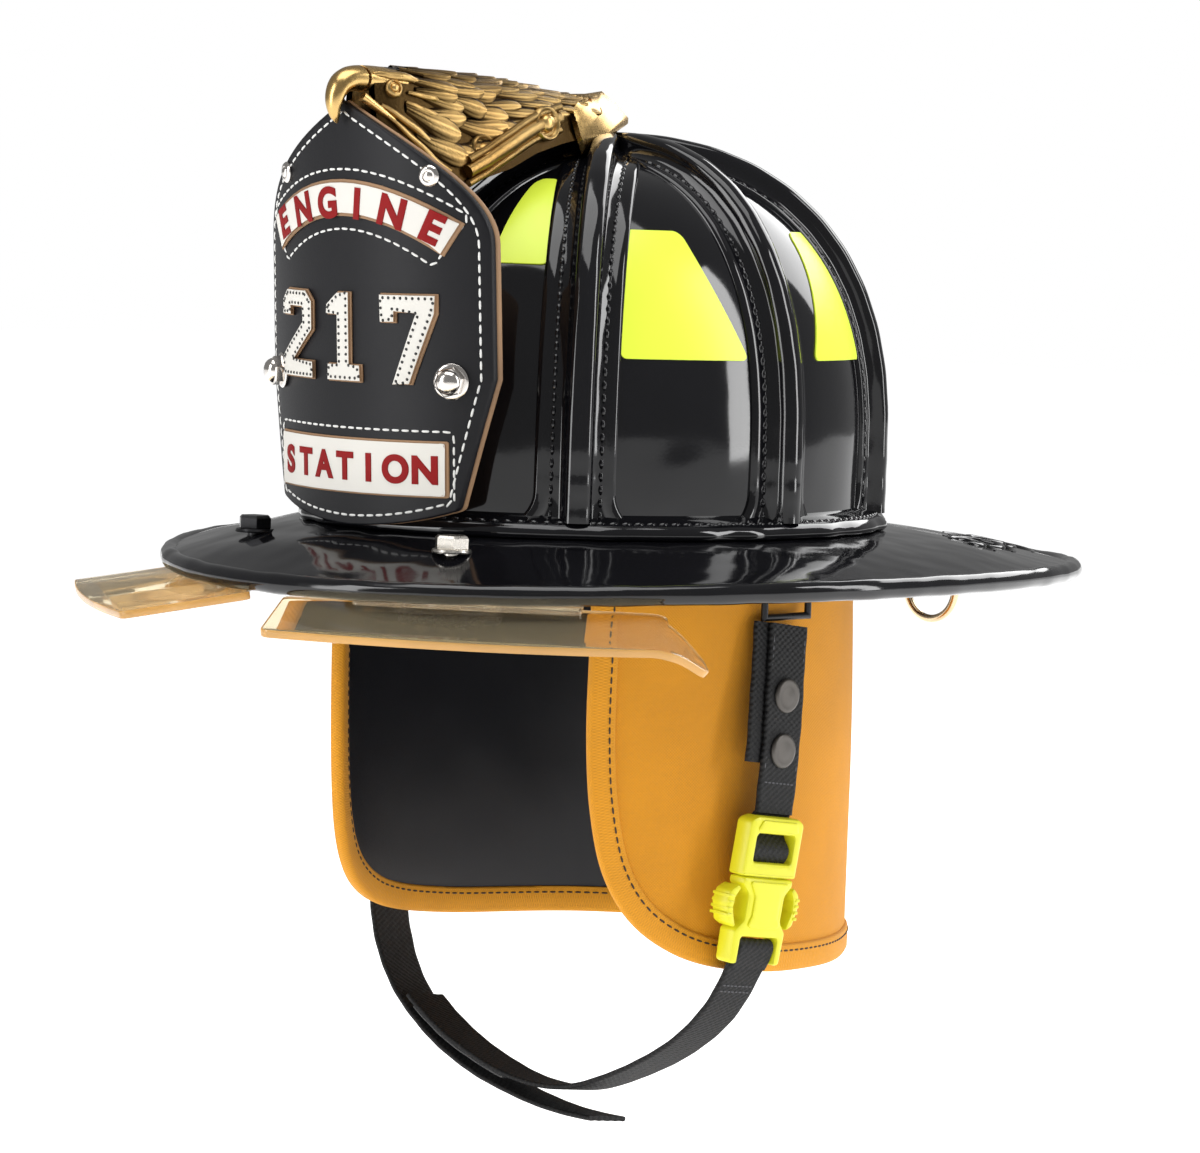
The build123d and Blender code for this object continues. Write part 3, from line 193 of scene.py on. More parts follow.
LOOP = finish_of("hook_and_loop", (0.006, 0.006, 0.0065), 0.9, spread=0.3, grain=3500, bump=0.5, sheen=0.4)
SNAP = finish_of("snap_enamel", (0.105, 0.095, 0.085), 0.38, metal=0.5, spread=0.2, grain=800, bump=0.01)
# the emission gives the buckle a painted glow
BUCKLE = finish_of("lime_plastic", (0.72, 0.70, 0.016), 0.36, spread=0.06, grain=1600, bump=0.015, glow=0.06)
FOAM = finish_of("impact_foam", (0.055, 0.055, 0.06), 0.75, spread=0.25, grain=1200, bump=0.12)
BLACK_PLASTIC = finish_of("black_plastic", (0.022, 0.022, 0.024), 0.4, spread=0.2, grain=1500, bump=0.04)
PAD = finish_of("brow_leather", (0.10, 0.055, 0.03), 0.6, spread=0.3, grain=1100, bump=0.12)
STEEL = finish_of("zinc_steel", (0.60, 0.57, 0.52), 0.28, metal=1, spread=0.15, grain=700, bump=0.01)


# ---- helpers -------------------------------------------------------------------------------------
def piece(name, verts, faces, mats, body="shell", sharp=40.0, uv=None, slots=None, nodes=(), relief=None):
    """A mesh object in metres from millimetre vertices, riding on a body and standing for CAD nodes."""
    mesh = bpy.data.meshes.new(name)
    mesh.from_pydata([tuple(c * MM for c in v) for v in verts], [], faces)
    for mat in mats:
        mesh.materials.append(mat)
    if slots is not None:
        mesh.polygons.foreach_set("material_index", slots)
    if uv is not None:
        layer = mesh.uv_layers.new(name="UV")
        for loop in mesh.loops:
            layer.data[loop.index].uv = uv[loop.vertex_index]
    # per-point painted light and shade, which the finish turns into darker colour
    if relief is not None:
        layer = mesh.attributes.new("relief", "FLOAT", "POINT")
        layer.data.foreach_set("value", relief)
    mesh.validate()
    mesh.shade_smooth()
    mesh.set_sharp_from_angle(angle=radians(sharp))
    obj = bpy.data.objects.new(name, mesh)
    bpy.context.scene.collection.objects.link(obj)
    if isinstance(body, tuple):
        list(body)
        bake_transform(obj)
    else:
        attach(obj, body)
    if nodes:
        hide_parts(*nodes)
    return obj


def grid_faces(rows, cols, start=0, wrap_rows=False, wrap_cols=False, flip=False):
    """Quads of a grid stored row by row."""
    faces = []
    for r in range(rows if wrap_rows else rows - 1):
        for c in range(cols if wrap_cols else cols - 1):
            r2, c2 = (r + 1) % rows, (c + 1) % cols
            near, far = start + r * cols, start + r2 * cols
            quad = (near + c, near + c2, far + c2, far + c)
            faces.append(tuple(reversed(quad)) if flip else quad)
    return faces


def rim(rows, cols):
    """Indices round the border of a grid."""
    right = [r * cols + cols - 1 for r in range(1, rows)]
    bottom = [(rows - 1) * cols + c for c in range(cols - 2, -1, -1)]
    left = [r * cols for r in range(rows - 2, 0, -1)]
    return list(range(cols)) + right + bottom + left


def shell(outer, inner, rows, cols):
    """Vertices and faces of a closed shell between two grids of the same shape."""
    count = rows * cols
    faces = grid_faces(rows, cols) + grid_faces(rows, cols, count, flip=True)
    border = rim(rows, cols)
    for a, b in zip(border, border[1:] + border[:1]):
        faces.append((b, a, a + count, b + count))
    return list(outer) + list(inner), faces


def loft(rings):
    """Closed rings joined into a skin, capped at both ends."""
    n = len(rings[0])
    verts = [p for ring in rings for p in ring]
    faces = grid_faces(len(rings), n, wrap_cols=True)
    faces.append(tuple(range(n - 1, -1, -1)))
    faces.append(tuple((len(rings) - 1) * n + i for i in range(n)))
    return verts, faces


def ringed(rings):
    """Closed rings joined into a skin that runs back into itself."""
    faces = grid_faces(len(rings), len(rings[0]), wrap_rows=True, wrap_cols=True)
    return [p for ring in rings for p in ring], faces


def gather(parts):
    """Several (vertices, faces) as one."""
    verts, faces = [], []
    for part_verts, part_faces in parts:
        shift = len(verts)
        verts += part_verts
        faces += [tuple(i + shift for i in f) for f in part_faces]
    return verts, faces


def merged(name, parts, mat, body="shell", **how):
    """One piece from several parts."""
    verts, faces = gather(parts)
    return piece(name, verts, faces, [mat], body, **how)


def basis(normal, along=None):
    """Two directions across a normal, the first as near as it can be to along, and the normal."""
    normal = normal.normalized()
    along = along or (Vector((0, 0, 1)) if abs(normal.z) < 0.9 else Vector((1, 0, 0)))
    along = (along - normal * along.dot(normal)).normalized()
    return along, normal.cross(along).normalized(), normal


def turned(origin, normal, profile, sides=28, along=None):
    """A turned or hexagonal solid: profile of (radius, height) along the normal."""
    x, y, z = basis(normal, along)
    spokes = [x * cos(2 * pi * k / sides) + y * sin(2 * pi * k / sides) for k in range(sides)]
    return loft([[origin + z * height + spoke * radius for spoke in spokes] for radius, height in profile])


def tube(points, radius, sides=10, closed=False, normal=None):
    """A round rod along points; radius is a number or a function of the share along it."""
    rings = []
    side = normal
    for k, p in enumerate(points):
        before = points[k - 1] if k or closed else p
        after = points[(k + 1) % len(points)] if k + 1 < len(points) or closed else p
        way = (after - before).normalized()
        if side is None:
            side = basis(way)[0]
        side = (side - way * side.dot(way)).normalized()
        other = way.cross(side)
        size = radius(k / max(len(points) - 1, 1)) if callable(radius) else radius
        rings.append([p + (side * cos(2 * pi * j / sides) + other * sin(2 * pi * j / sides)) * size
                      for j in range(sides)])
    return ringed(rings) if closed else loft(rings)


def stitch(place, along, normal, length, width):
    """One stitch: a small rounded bar half sunk in the surface."""
    along, side, normal = basis(normal, along)
    rings = []
    for step, size in ((-0.5, 0.35), (-0.36, 0.85), (0.0, 1.0), (0.36, 0.85), (0.5, 0.35)):
        ring = [place + along * (length * step) + (side * cos(pi * j / 3) + normal * (0.75 * sin(pi * j / 3)))
                * (width / 2 * size) - normal * (width * 0.35 * (abs(step) * 2) ** 3) for j in range(6)]
        rings.append(ring)
    return loft(rings)


def finer(route):
    """The same route with its long straight steps divided, so that none is over 4."""
    line = [route[0]]
    for a, b in zip(route, route[1:]):
        count = int(sqrt(sum((q - p) ** 2 for p, q in zip(a, b))) / 4) + 1
        line += [tuple(p + (q - p) * k / count for p, q in zip(a, b)) for k in range(1, count + 1)]
    return line


def seam(surface, route, pitch, length, width):
    """Stitches along a route of surface coordinates; surface gives a point and its normal."""
    points = [surface(*p) for p in finer(route)]
    steps = [0.0]
    for a, b in zip(points, points[1:]):
        steps.append(steps[-1] + (b[0] - a[0]).length)
    parts, total, index = [], steps[-1], 0
    count = max(int(total / pitch), 1)
    for k in range(count):
        here = (k + 0.5) * total / count
        while steps[index + 1] < here and index < len(steps) - 2:
            index += 1
        share = (here - steps[index]) / max(steps[index + 1] - steps[index], 1e-6)
        a, b = points[index], points[index + 1]
        parts.append(stitch(a[0].lerp(b[0], share), b[0] - a[0], a[1].lerp(b[1], share), length, width))
    return parts


def along_line(line, share):
    """Point of a line, by its share of the line's steps."""
    place = share * (len(line) - 1)
    k = min(int(place), len(line) - 2)
    return line[k].lerp(line[k + 1], place - k)


def sewn(name, parts, mat, body="shell"):
    return merged(name, parts, mat, body, sharp=70)


def bezier(points, steps=12):
    """Smooth line through points."""
    line = []
    pts = [points[0] + (points[0] - points[1])] + list(points) + [points[-1] + (points[-1] - points[-2])]
    for k in range(1, len(pts) - 2):
        for j in range(steps):
            t = j / steps
            a, b, c, d = pts[k - 1:k + 3]
            line.append(0.5 * ((2 * b) + (c - a) * t + (2 * a - 5 * b + 4 * c - d) * t * t
                               + (3 * b - a - 3 * c + d) * t ** 3))
    line.append(points[-1])
    return line


def rounded(corners, steps=6):
    """A closed outline from (x, y, radius) corners."""
    line = []
    for k, (*corner, radius) in enumerate(corners):
        here = Vector(corner)
        a = Vector(corners[k - 1][:2]) - here
        b = Vector(corners[(k + 1) % len(corners)][:2]) - here
        if radius <= 0:
            line.append(tuple(here))
            continue
        half = a.angle(b) / 2
        cut = min(radius / tan(half), a.length * 0.49, b.length * 0.49)
        start, stop = here + a.normalized() * cut, here + b.normalized() * cut
        for j in range(steps + 1):
            t = j / steps
            p = start.lerp(here, t).lerp(here.lerp(stop, t), t)
            line.append((p.x, p.y))
    return line


def plate(outlines, depth, bevel, spacing=0.0, text=None, lines=()):
    """A flat cut plate from closed outlines (holes inside) or from a text of (letter, size, boldness),
    its edges rounded, centred on z = 0.  It's sliced along x, and along the given lines, so that it can
    be bent.  Slot 0 is its face and slot 1 the rest."""
    if text:
        curve = bpy.data.curves.new("cut", "FONT")
        curve.body, curve.size, curve.align_x, curve.offset = text[0], text[1], "CENTER", text[2]
    else:
        curve = bpy.data.curves.new("cut", "CURVE")
        curve.dimensions, curve.fill_mode, curve.offset = "2D", "BOTH", -bevel
        for outline in outlines:
            spline = curve.splines.new("POLY")
            spline.points.add(len(outline) - 1)
            for point, (x, y) in zip(spline.points, outline):
                point.co = (x, y, 0, 1)
            spline.use_cyclic_u = True
    curve.extrude, curve.bevel_depth, curve.bevel_resolution = depth / 2 - bevel, bevel, 1
    obj = bpy.data.objects.new("cut", curve)
    bpy.context.scene.collection.objects.link(obj)
    graph = bpy.context.evaluated_depsgraph_get()
    mesh = bpy.data.meshes.new_from_object(obj.evaluated_get(graph))
    bpy.data.objects.remove(obj)
    bm = bmesh.new()
    bm.from_mesh(mesh)
    bmesh.ops.remove_doubles(bm, verts=bm.verts, dist=0.001)
    if spacing:
        low, high = min(v.co.x for v in bm.verts), max(v.co.x for v in bm.verts)
        count = ceil((high - low) / spacing)
        lines = list(lines) + [((low + k * spacing, 0), (1, 0)) for k in range(1, count)]
    for at, way in lines:
        bmesh.ops.bisect_plane(bm, geom=bm.verts[:] + bm.edges[:] + bm.faces[:], dist=0.0005,
                               plane_co=(*at, 0), plane_no=(*way, 0))
    bm.normal_update()
    verts = [v.co.copy() for v in bm.verts]
    bm.verts.index_update()
    faces = [tuple(v.index for v in f.verts) for f in bm.faces]
    slots = [0 if f.normal.z > 0.9 else 1 for f in bm.faces]
    bm.free()
    return verts, faces, slots


# ---- stage ---------------------------------------------------------------------------------------
def stage_plane(name, corners, mat):
    """A flat four-cornered surface of the stage."""
    mesh = bpy.data.meshes.new(name)
    mesh.from_pydata(corners, [], [(0, 1, 2, 3)])
    mesh.materials.append(mat)
    obj = bpy.data.objects.new(name, mesh)
    bpy.context.scene.collection.objects.link(obj)


def softbox(name, place, size, power):
    """A rectangular light aimed at the origin."""
    light = bpy.data.lights.new(name, "AREA")
    light.shape, light.energy = "RECTANGLE", power
    light.size, light.size_y = size
    obj = bpy.data.objects.new(name, light)
    obj.location = place
    obj.rotation_mode = "QUATERNION"
    obj.rotation_quaternion = (-Vector(place)).to_track_quat("-Z", "Y")
    bpy.context.scene.collection.objects.link(obj)


floor_white = finish_of("stage_white", (0.86, 0.86, 0.86), 0.9, spread=0.01, grain=20, bump=0.0, glow=0.93)
FLOOR_Z, FLOOR_REACH = -0.262, 9
stage_plane("stage_floor", [(x * FLOOR_REACH, y * FLOOR_REACH, FLOOR_Z)
                            for x, y in ((-1, -1), (1, -1), (1, 1), (-1, 1))], floor_white)
world = bpy.data.worlds.new("studio")
world.use_nodes = True
sky = world.node_tree.nodes["Background"]
ray = world.node_tree.nodes.new("ShaderNodeLightPath").outputs["Is Camera Ray"]
bright = wired(world.node_tree, "ShaderNodeMapRange", {"Value": ray, "To Min": 0.26, "To Max": 1.0})
world.node_tree.links.new(bright.outputs["Result"], sky.inputs["Strength"])
sky.inputs["Color"].default_value = (1.0, 1.0, 1.0, 1)
bpy.context.scene.world = world
bpy.context.scene.view_settings.view_transform = "Standard"
softbox("stage_top", (0.1, -0.3, 1.7), (1.6, 1.2), 20)
softbox("stage_left", back * 0.9 - cam_right * 1.5 + Vector((0, 0, 0.5)), (0.5, 1.5), 15)
softbox("stage_right", back * 0.3 + cam_right * 1.7 + Vector((0, 0, 0.6)), (0.35, 1.6), 16)
softbox("stage_rear", back * -1.2 + cam_right * 1.0 + Vector((0, 0, 1.0)), (1.2, 0.8), 14)

# ---- crown ---------------------------------------------------------------------------------------
CROWN_X, CROWN_Y, CROWN_TOP, SPRING, POWER, LEATHER = 89.0, 111.0, 136.0, 30.0, 2.4, 4.0
PANELS = ["front_left", "left_front", "left_rear", "rear_left",
          "rear_right", "right_rear", "right_front", "front_right"]
COMBS = ["front", "front_left", "left", "rear_left", "rear", "rear_right", "right", "front_right"]


def crown(turn_deg, climb, grow=0.0):
    """Point of the crown: climb below 0 is the upright wall, then an angle in degrees up to 90."""
    t = radians(max(climb, 0))
    wide = max(cos(t), 0) ** (2 / POWER)
    z = SPRING + (CROWN_TOP + grow - SPRING) * sin(t) ** (2 / POWER) if climb > 0 else SPRING + climb
    return Vector(((CROWN_X + grow) * wide * sin(radians(turn_deg)),
                   -(CROWN_Y + grow) * wide * cos(radians(turn_deg)), z))


def crown_normal(p):
    """Outward direction of the crown at a point on it."""
    up = max(p.z - SPRING, 0) / (CROWN_TOP - SPRING)
    flat = hypot(p.x / CROWN_X, p.y / CROWN_Y)
    out = Vector((p.x / CROWN_X ** 2, p.y / CROWN_Y ** 2, 0)) * max(flat, 1e-4) ** (POWER - 2)
    return (out + Vector((0, 0, up ** (POWER - 1) / (CROWN_TOP - SPRING)))).normalized()


def on_crown(p):
    """A nearby point dropped on the crown's surface."""
    flat = hypot(p.x / CROWN_X, p.y / CROWN_Y)
    if p.z <= SPRING:
        return Vector((p.x / flat, p.y / flat, p.z))
    up = (p.z - SPRING) / (CROWN_TOP - SPRING)
    scale = (flat ** POWER + up ** POWER) ** (-1 / POWER)
    return Vector((p.x * scale, p.y * scale, SPRING + (p.z - SPRING) * scale))


CLIMBS = [-30 + 30 * k / 8 for k in range(8)] + [0.01 + 88.5 * (k / 40) ** 1.1 for k in range(41)]
for k, label in enumerate(PANELS):
    turns = [45 * k + 45 * j / 20 for j in range(21)]
    outer, inner = [], []
    for climb in CLIMBS:
        for a in turns:
            p = crown(a, climb)
            share = (a - 45 * k) / 45
            puff = 0.7 * sin(pi * share) * min(1, (p.z + 4) / 30) - 0.9 * (1 - sin(pi * share)) ** 6
            outer.append(p + crown_normal(p) * puff)
            inner.append(crown(a, climb, -LEATHER))
    verts, faces = shell(outer, inner, len(CLIMBS), 21)
    piece(f"panel_{label}", verts, faces, [ENAMEL], nodes=[f"crown_panel_{label}"])

# a comb's section: distance aside of its middle, height over the crown
RIDGE = [(-14.5, 0.2), (-14.2, 1.5), (-12.5, 1.9), (-9.2, 1.75), (-8.6, 1.35), (-8.0, 1.75), (-6.0, 2.2),
         (-4.9, 3.4), (-4.4, 5.5), (-4.3, 7.4), (-3.5, 8.8), (-2.0, 9.5), (0, 9.75)]
RIDGE += [(-s, n) for s, n in reversed(RIDGE[:-1])]
PLAN = [atan2(CROWN_X * sin(a), CROWN_Y * cos(a)) % (2 * pi) for a in (radians(45 * k) for k in range(8))]
PLAN.append(2 * pi)


def comb_frame(k, climb, aside):
    """Point of the crown beside comb k, held inside the comb's own wedge, and its normal."""
    p = crown(45 * k, climb)
    out = Vector((sin(PLAN[k]), -cos(PLAN[k]), 0))
    across = Vector((0, 0, 1)).cross(out)
    reach = hypot(p.x, p.y)
    before = (PLAN[k] - (PLAN[k - 1] if k else PLAN[7] - 2 * pi)) / 2
    after = (PLAN[k + 1] - PLAN[k]) / 2
    aside = max(-reach * tan(before), min(reach * tan(after), aside))
    q = on_crown(p + across * aside)
    return q, (crown_normal(q) + crown_normal(p)).normalized()


def comb_foot(k, aside):
    """Top of a comb's foot for stitches, by climb."""
    def surface(climb):
        q, normal = comb_frame(k, climb, aside)
        return q + normal * 1.7, normal
    return surface


comb_stitches = []
COMB_CLIMBS = [-24 + 24 * k / 12 for k in range(12)] + [0.01 + 89.8 * (k / 60) ** 1.1 for k in range(61)]
for k, label in enumerate(COMBS):
    rings = []
    for step, climb in enumerate(COMB_CLIMBS):
        ring = []
        wobble = 0.07 * sin(step * 1.1 + k)
        foot = 1 + 0.35 * max(0, 1 - step / 5) ** 2
        for s, n in RIDGE:
            q, normal = comb_frame(k, climb, s * (foot if abs(s) > 6 else 1))
            ring.append(q + normal * (n + (wobble if abs(s) < 8 else 0.4 * wobble)))
        for s in (9, 0, -9):
            q, normal = comb_frame(k, climb, s)
            ring.append(q - normal * 1.2)
        rings.append(ring)
    verts, faces = loft(rings)
    piece(f"comb_{label}_leather", verts, faces, [ENAMEL], sharp=80, nodes=[f"comb_{label}"])
    for s in (-8.6, 8.6):
        comb_stitches += seam(comb_foot(k, s), [(c,) for c in COMB_CLIMBS if c < 78], 4.6, 3.9, 1.7)
sewn("comb_stitches", comb_stitches, ENAMEL)

# the welt's section: distance out from the crown, height
WELT = [(0.3, 0.2), (0.3, 8.6), (2.2, 7.6), (4.0, 6.4), (6.5, 6.1), (8.8, 5.2), (10.4, 3.2), (10.6, 1.4),
        (9.6, 0.2)]
rings = []
for j in range(160):
    a = 2 * pi * j / 160
    swell = 1 + 0.04 * sin(a * 23) + 0.03 * sin(a * 37)
    rings.append([Vector(((CROWN_X + g * swell) * sin(a), -(CROWN_Y + g * swell) * cos(a), z))
                  for g, z in WELT])
piece("base_welt", *ringed(rings), [ENAMEL], sharp=80, nodes=["crown_base_welt"])


def on_welt(a):
    place = Vector(((CROWN_X + 6.6) * sin(a), -(CROWN_Y + 6.6) * cos(a), 6.1))
    return place, Vector((sin(a) * 0.3, -cos(a) * 0.3, 1)).normalized()


welt_turns = [(2 * pi * j / 200,) for j in range(201)]
sewn("welt_stitches", seam(on_welt, welt_turns, 4.7, 4.2, 1.9), ENAMEL)

# fluorescent trims: foot, head, then the turns in degrees of both lower and both upper corners
TRIMS = [(96, 126, (21, 36), (21, 31)), (64, 109, (53, 82), (54, 69.5)),
         (64, 110, (102, 127), (113, 126)), (64, 110, (147, 170), (150, 164))]
TRIM_CORNER = 3.0
TRIM_ENDS = [0, 0.003, 0.008, 0.016, 0.027, 0.042, 0.06, 0.08]
TRIM_ROWS = TRIM_ENDS + [0.1 + 0.8 * r / 16 for r in range(17)] + [1 - v for v in reversed(TRIM_ENDS)]
parts = []
for low, high, low_turns, high_turns in TRIMS:
    for side in (1, -1):
        front, rear = [], []
        for v in TRIM_ROWS:
            corner = TRIM_CORNER / (high - low)
            edge = min(v, 1 - v)
            cut = 1 - sqrt(max(0, 1 - (1 - edge / corner) ** 2)) if edge < corner else 0
            round_off = TRIM_CORNER * cut
            climb = ((low + (high - low) * v - SPRING) / (CROWN_TOP - SPRING)) ** (POWER / 2)
            climb = atan2(climb, sqrt(max(1 - climb * climb, 0))) * 180 / pi
            a0 = low_turns[0] + (high_turns[0] - low_turns[0]) * v
            a1 = low_turns[1] + (high_turns[1] - low_turns[1]) * v
            slim = round_off / max((crown(a1, climb) - crown(a0, climb)).length, 1) * (a1 - a0)
            for c in range(17):
                a = (a0 + slim) + (a1 - a0 - 2 * slim) * c / 16
                p = crown(side * a, climb)
                front.append(p + crown_normal(p) * 1.15)
                rear.append(p + crown_normal(p) * 0.55)
        rows = len(TRIM_ROWS)
        parts.append(shell(front, rear, rows, 17) if side > 0 else shell(rear, front, rows, 17))
merged("lime_trims", parts, LIME, nodes=["reflective_trims"])


# ---- brim ----------------------------------------------------------------------------------------
SEAT_X, SEAT_Y, BRIM_X, BRIM_FRONT, BRIM_REAR = 99.0, 121.0, 150.5, 166.5, 221.0


def brim_edge(a):
    """Top of the brim's edge: a turns in radians from the front through the left."""
    reach = BRIM_FRONT if cos(a) > 0 else BRIM_REAR
    return Vector((BRIM_X * sin(a), -reach * cos(a), -(11 + 4.5 * cos(a) ** 2)))


def brim(a, share, lift=0.0):
    """Top of the brim from the seat, share 0, to the edge, share 1."""
    seat, edge = Vector((SEAT_X * sin(a), -SEAT_Y * cos(a), 0)), brim_edge(a)
    p = seat.lerp(edge, share)
    p.z = edge.z * (0.62 * share + 0.38 * share * share) + 0.5 * sin(3 * a + 4 * share) * sin(pi * share)
    p.z += 0.35 * sin(11 * a + 7 * share) * sin(pi * share) + lift
    return p


TURNS = [2 * pi * j / 180 for j in range(180)]
top, low = [], []
for a in TURNS:
    hole = Vector((85 * sin(a), -107 * cos(a), 0))
    row = [hole, hole.lerp(brim(a, 0), 0.5)] + [brim(a, j / 12) for j in range(13)]
    top += row
    low += [p - Vector((0, 0, LEATHER)) for p in row]
cols, count = 15, len(top)
faces = grid_faces(180, cols, wrap_rows=True) + grid_faces(180, cols, count, wrap_rows=True, flip=True)
for j in range(180):
    near, far = j * cols, (j + 1) % 180 * cols
    faces.append((near, far, far + count, near + count))
    near, far = near + cols - 1, far + cols - 1
    faces.append((far, near, near + count, far + count))
extra = [(top + low, faces)]


def scroll(centre, start, stop, first, last, side=1):
    """A tooled scroll on the brim: a spiral ridge in plan round a centre."""
    line = []
    for j in range(30):
        t = j / 29
        ang, rad = start + (stop - start) * t, first + (last - first) * t
        x, y = centre[0] + side * rad * cos(ang), centre[1] + rad * sin(ang)
        a = atan2(x / BRIM_X, -y / (BRIM_REAR if y > 0 else BRIM_FRONT))
        s, e = Vector((SEAT_X * sin(a), -SEAT_Y * cos(a))), brim_edge(a).to_2d()
        share = max(0.02, min(0.98, (hypot(x, y) - s.length) / (e.length - s.length)))
        line.append(brim(a, share, 0.25))
    sunk = [p - Vector((0, 0, 0.7)) for p in line]
    return tube(sunk, lambda t: 0.4 + 1.3 * sin(pi * (0.08 + 0.84 * t)), 10)


# tooled scrolls: centre, first and last angle, first and last radius
SCROLLS = [((62, 152), -0.4, 4.6, 16, 3), ((78, 128), 0.2, 3.4, 17, 8), ((40, 172), -1.2, 3.4, 15, 3),
           ((58, 150), 0.3, 2.6, 27, 16), ((88, 108), 0.3, 3.8, 14, 4), ((20, 184), 3.4, -0.6, 13, 4)]
for side in (1, -1):
    for curl in SCROLLS:
        extra.append(scroll(*curl, side))
merged("brim_leather", extra, BRIM_ENAMEL, nodes=["brim"])
rings = []
for a in TURNS:
    reach = BRIM_FRONT if cos(a) > 0 else BRIM_REAR
    out = Vector((sin(a) / BRIM_X, -cos(a) / reach, 0)).normalized()
    centre = brim_edge(a) - Vector((0, 0, 2))
    swell = 3.75 + 0.10 * sin(31 * a) + 0.08 * sin(53 * a)
    rings.append([centre + out * (swell * cos(t) - 0.6) + Vector((0, 0, swell * sin(t)))
                  for t in (2 * pi * j / 14 for j in range(14))])
piece("rolled_edge", *ringed(rings), [BRIM_ENAMEL], sharp=80, nodes=["brim_rolled_edge"])


def by_the_edge(a):
    return brim(a, 1) + Vector((-5.5 * sin(a), 5.5 * cos(a), 0.75)), Vector((0, 0, 1))


edge_turns = [(2 * pi * j / 240,) for j in range(241)]
sewn("edge_stitches", seam(by_the_edge, edge_turns, 5.4, 4.0, 0.9), BRIM_ENAMEL)

# ---- front shield --------------------------------------------------------------------------------
LEAN, CURVE = radians(3.4), 95.0
SHIELD_UP, SHIELD_OUT = Vector((0, -sin(LEAN), cos(LEAN))), Vector((0, -cos(LEAN), -sin(LEAN)))
SHIELD_FOOT = Vector((0, -124.7, 2))


def on_shield(x, h, out):
    """Point of the curved shield, out in front of its back, with its normal."""
    x = max(-75.0, min(75.0, x))
    deep = sqrt((CURVE + out) ** 2 - x * x) - CURVE
    p = SHIELD_FOOT + SHIELD_UP * h + SHIELD_OUT * deep + Vector((x, 0, 0))
    return p, (SHIELD_OUT * sqrt(CURVE ** 2 - x * x) + Vector((x, 0, 0))).normalized()


def shield_half():
    """Left half of the shield's outline: curved foot, heel, side, and a curve over the shoulder."""
    line = [(44.7 * t, 1.2 * t + 5.8 * t ** 2.4, 0) for t in (j / 14 for j in range(14))]
    line += [(44.7, 7, 4), (56, 53, 5)]
    for t in (j / 24 for j in range(25)):
        near, far = (1 - t) ** 3, 3 * t * (1 - t) ** 2
        line.append((55.7 * near + 55.5 * far + 38 * 3 * t * t * (1 - t),
                     100 * near + 117 * far + 131 * 3 * t * t * (1 - t) + 150 * t ** 3, 0))
    return line


half = shield_half()
OUTLINE = rounded(half + [(-x, h, r) for x, h, r in reversed(half[1:-1])])


def inset_line(outline, distance):
    """A closed outline moved inward."""
    after = outline[1:] + outline[:1]
    turns_left = sum(x * y2 - x2 * y for (x, y), (x2, y2) in zip(outline, after)) > 0
    step = distance if turns_left else -distance
    moved = []
    for k, (x, y) in enumerate(outline):
        along = (Vector(after[k]) - Vector(outline[k - 1])).normalized()
        moved.append((x - along.y * step, y + along.x * step))
    return moved


def leather_cut(name, outlines, first, last, mats, nodes, spacing=3.0, text=None, shift=None, bevel=0.35):
    """Flat leather cut, bent on the shield between two distances from its back."""
    depth, middle = last - first, (first + last) / 2
    verts, faces, marks = plate(outlines, depth, min(bevel, depth * 0.4), spacing, text)
    place = shift or (lambda x, y: (x, y))
    bent = [on_shield(*place(v.x, v.y), middle + v.z)[0] for v in verts]
    return piece(name, bent, faces, mats, slots=marks, nodes=nodes, sharp=50)


leather_cut("shield_rear_leather", [OUTLINE], 0.0, 1.55, [TAN, TAN], ["shield_backing"])
leather_cut("shield_face", [inset_line(OUTLINE, 0.25)], 1.6, 4.0, [SATIN, SATIN], ["front_shield"], bevel=0.5)


def arc_line(x0, x1, y_end, y_mid):
    """Points of a shallow arch."""
    return [(x0 + (x1 - x0) * u, y_end + (y_mid - y_end) * (1 - ((u - 0.5) * 2) ** 2))
            for u in (j / 16 for j in range(17))]


top_panel = arc_line(-41, 41, 96, 109.5) + arc_line(48, -48, 107.5, 122.5)
leather_cut("top_panel_edge", [top_panel], 4.0, 4.7, [TAN, TAN], ["shield_top_panel"])
leather_cut("top_panel_face", [inset_line(top_panel, 1.1)], 4.5, 5.3, [WHITE, TAN], [])
bottom_panel = rounded([(-42, 11.5, 1), (42, 11.5, 1), (42, 31.5, 1), (-42, 31.5, 1)])
leather_cut("bottom_panel_edge", [bottom_panel], 4.0, 4.7, [TAN, TAN], ["shield_bottom_panel"])
leather_cut("bottom_panel_face", [inset_line(bottom_panel, 1.1)], 4.5, 5.3, [WHITE, TAN], [])

# outlines of the numerals 2, 1 and 7 as (x, y, corner radius)
NUMERALS = [
    [(0, 22, 0), (0, 28, 1), (4, 32, 1), (18, 32, 1), (22, 28, 1), (22, 17.5, 1), (9.5, 6.8, 0), (22, 6.8, 0),
     (22, 0, 0), (0, 0, 0), (0, 8, 1), (15, 20.5, 1), (15, 25.2, 0), (7, 25.2, 0), (7, 22, 0)],
    [(2, 23.5, 0), (2, 27.5, 1), (8, 32, 0), (14.6, 32, 0), (14.6, 6.5, 0), (19.5, 6.5, 0), (19.5, 0, 0),
     (2.5, 0, 0), (2.5, 6.5, 0), (7.6, 6.5, 0), (7.6, 23.5, 0)],
    [(0, 32, 0), (22, 32, 0), (22, 25, 1), (12.5, 0, 0), (4.8, 0, 0), (14.2, 25.2, 0), (6.5, 25.2, 0),
     (6.5, 21.5, 0), (0, 21.5, 0)]]
holes = []
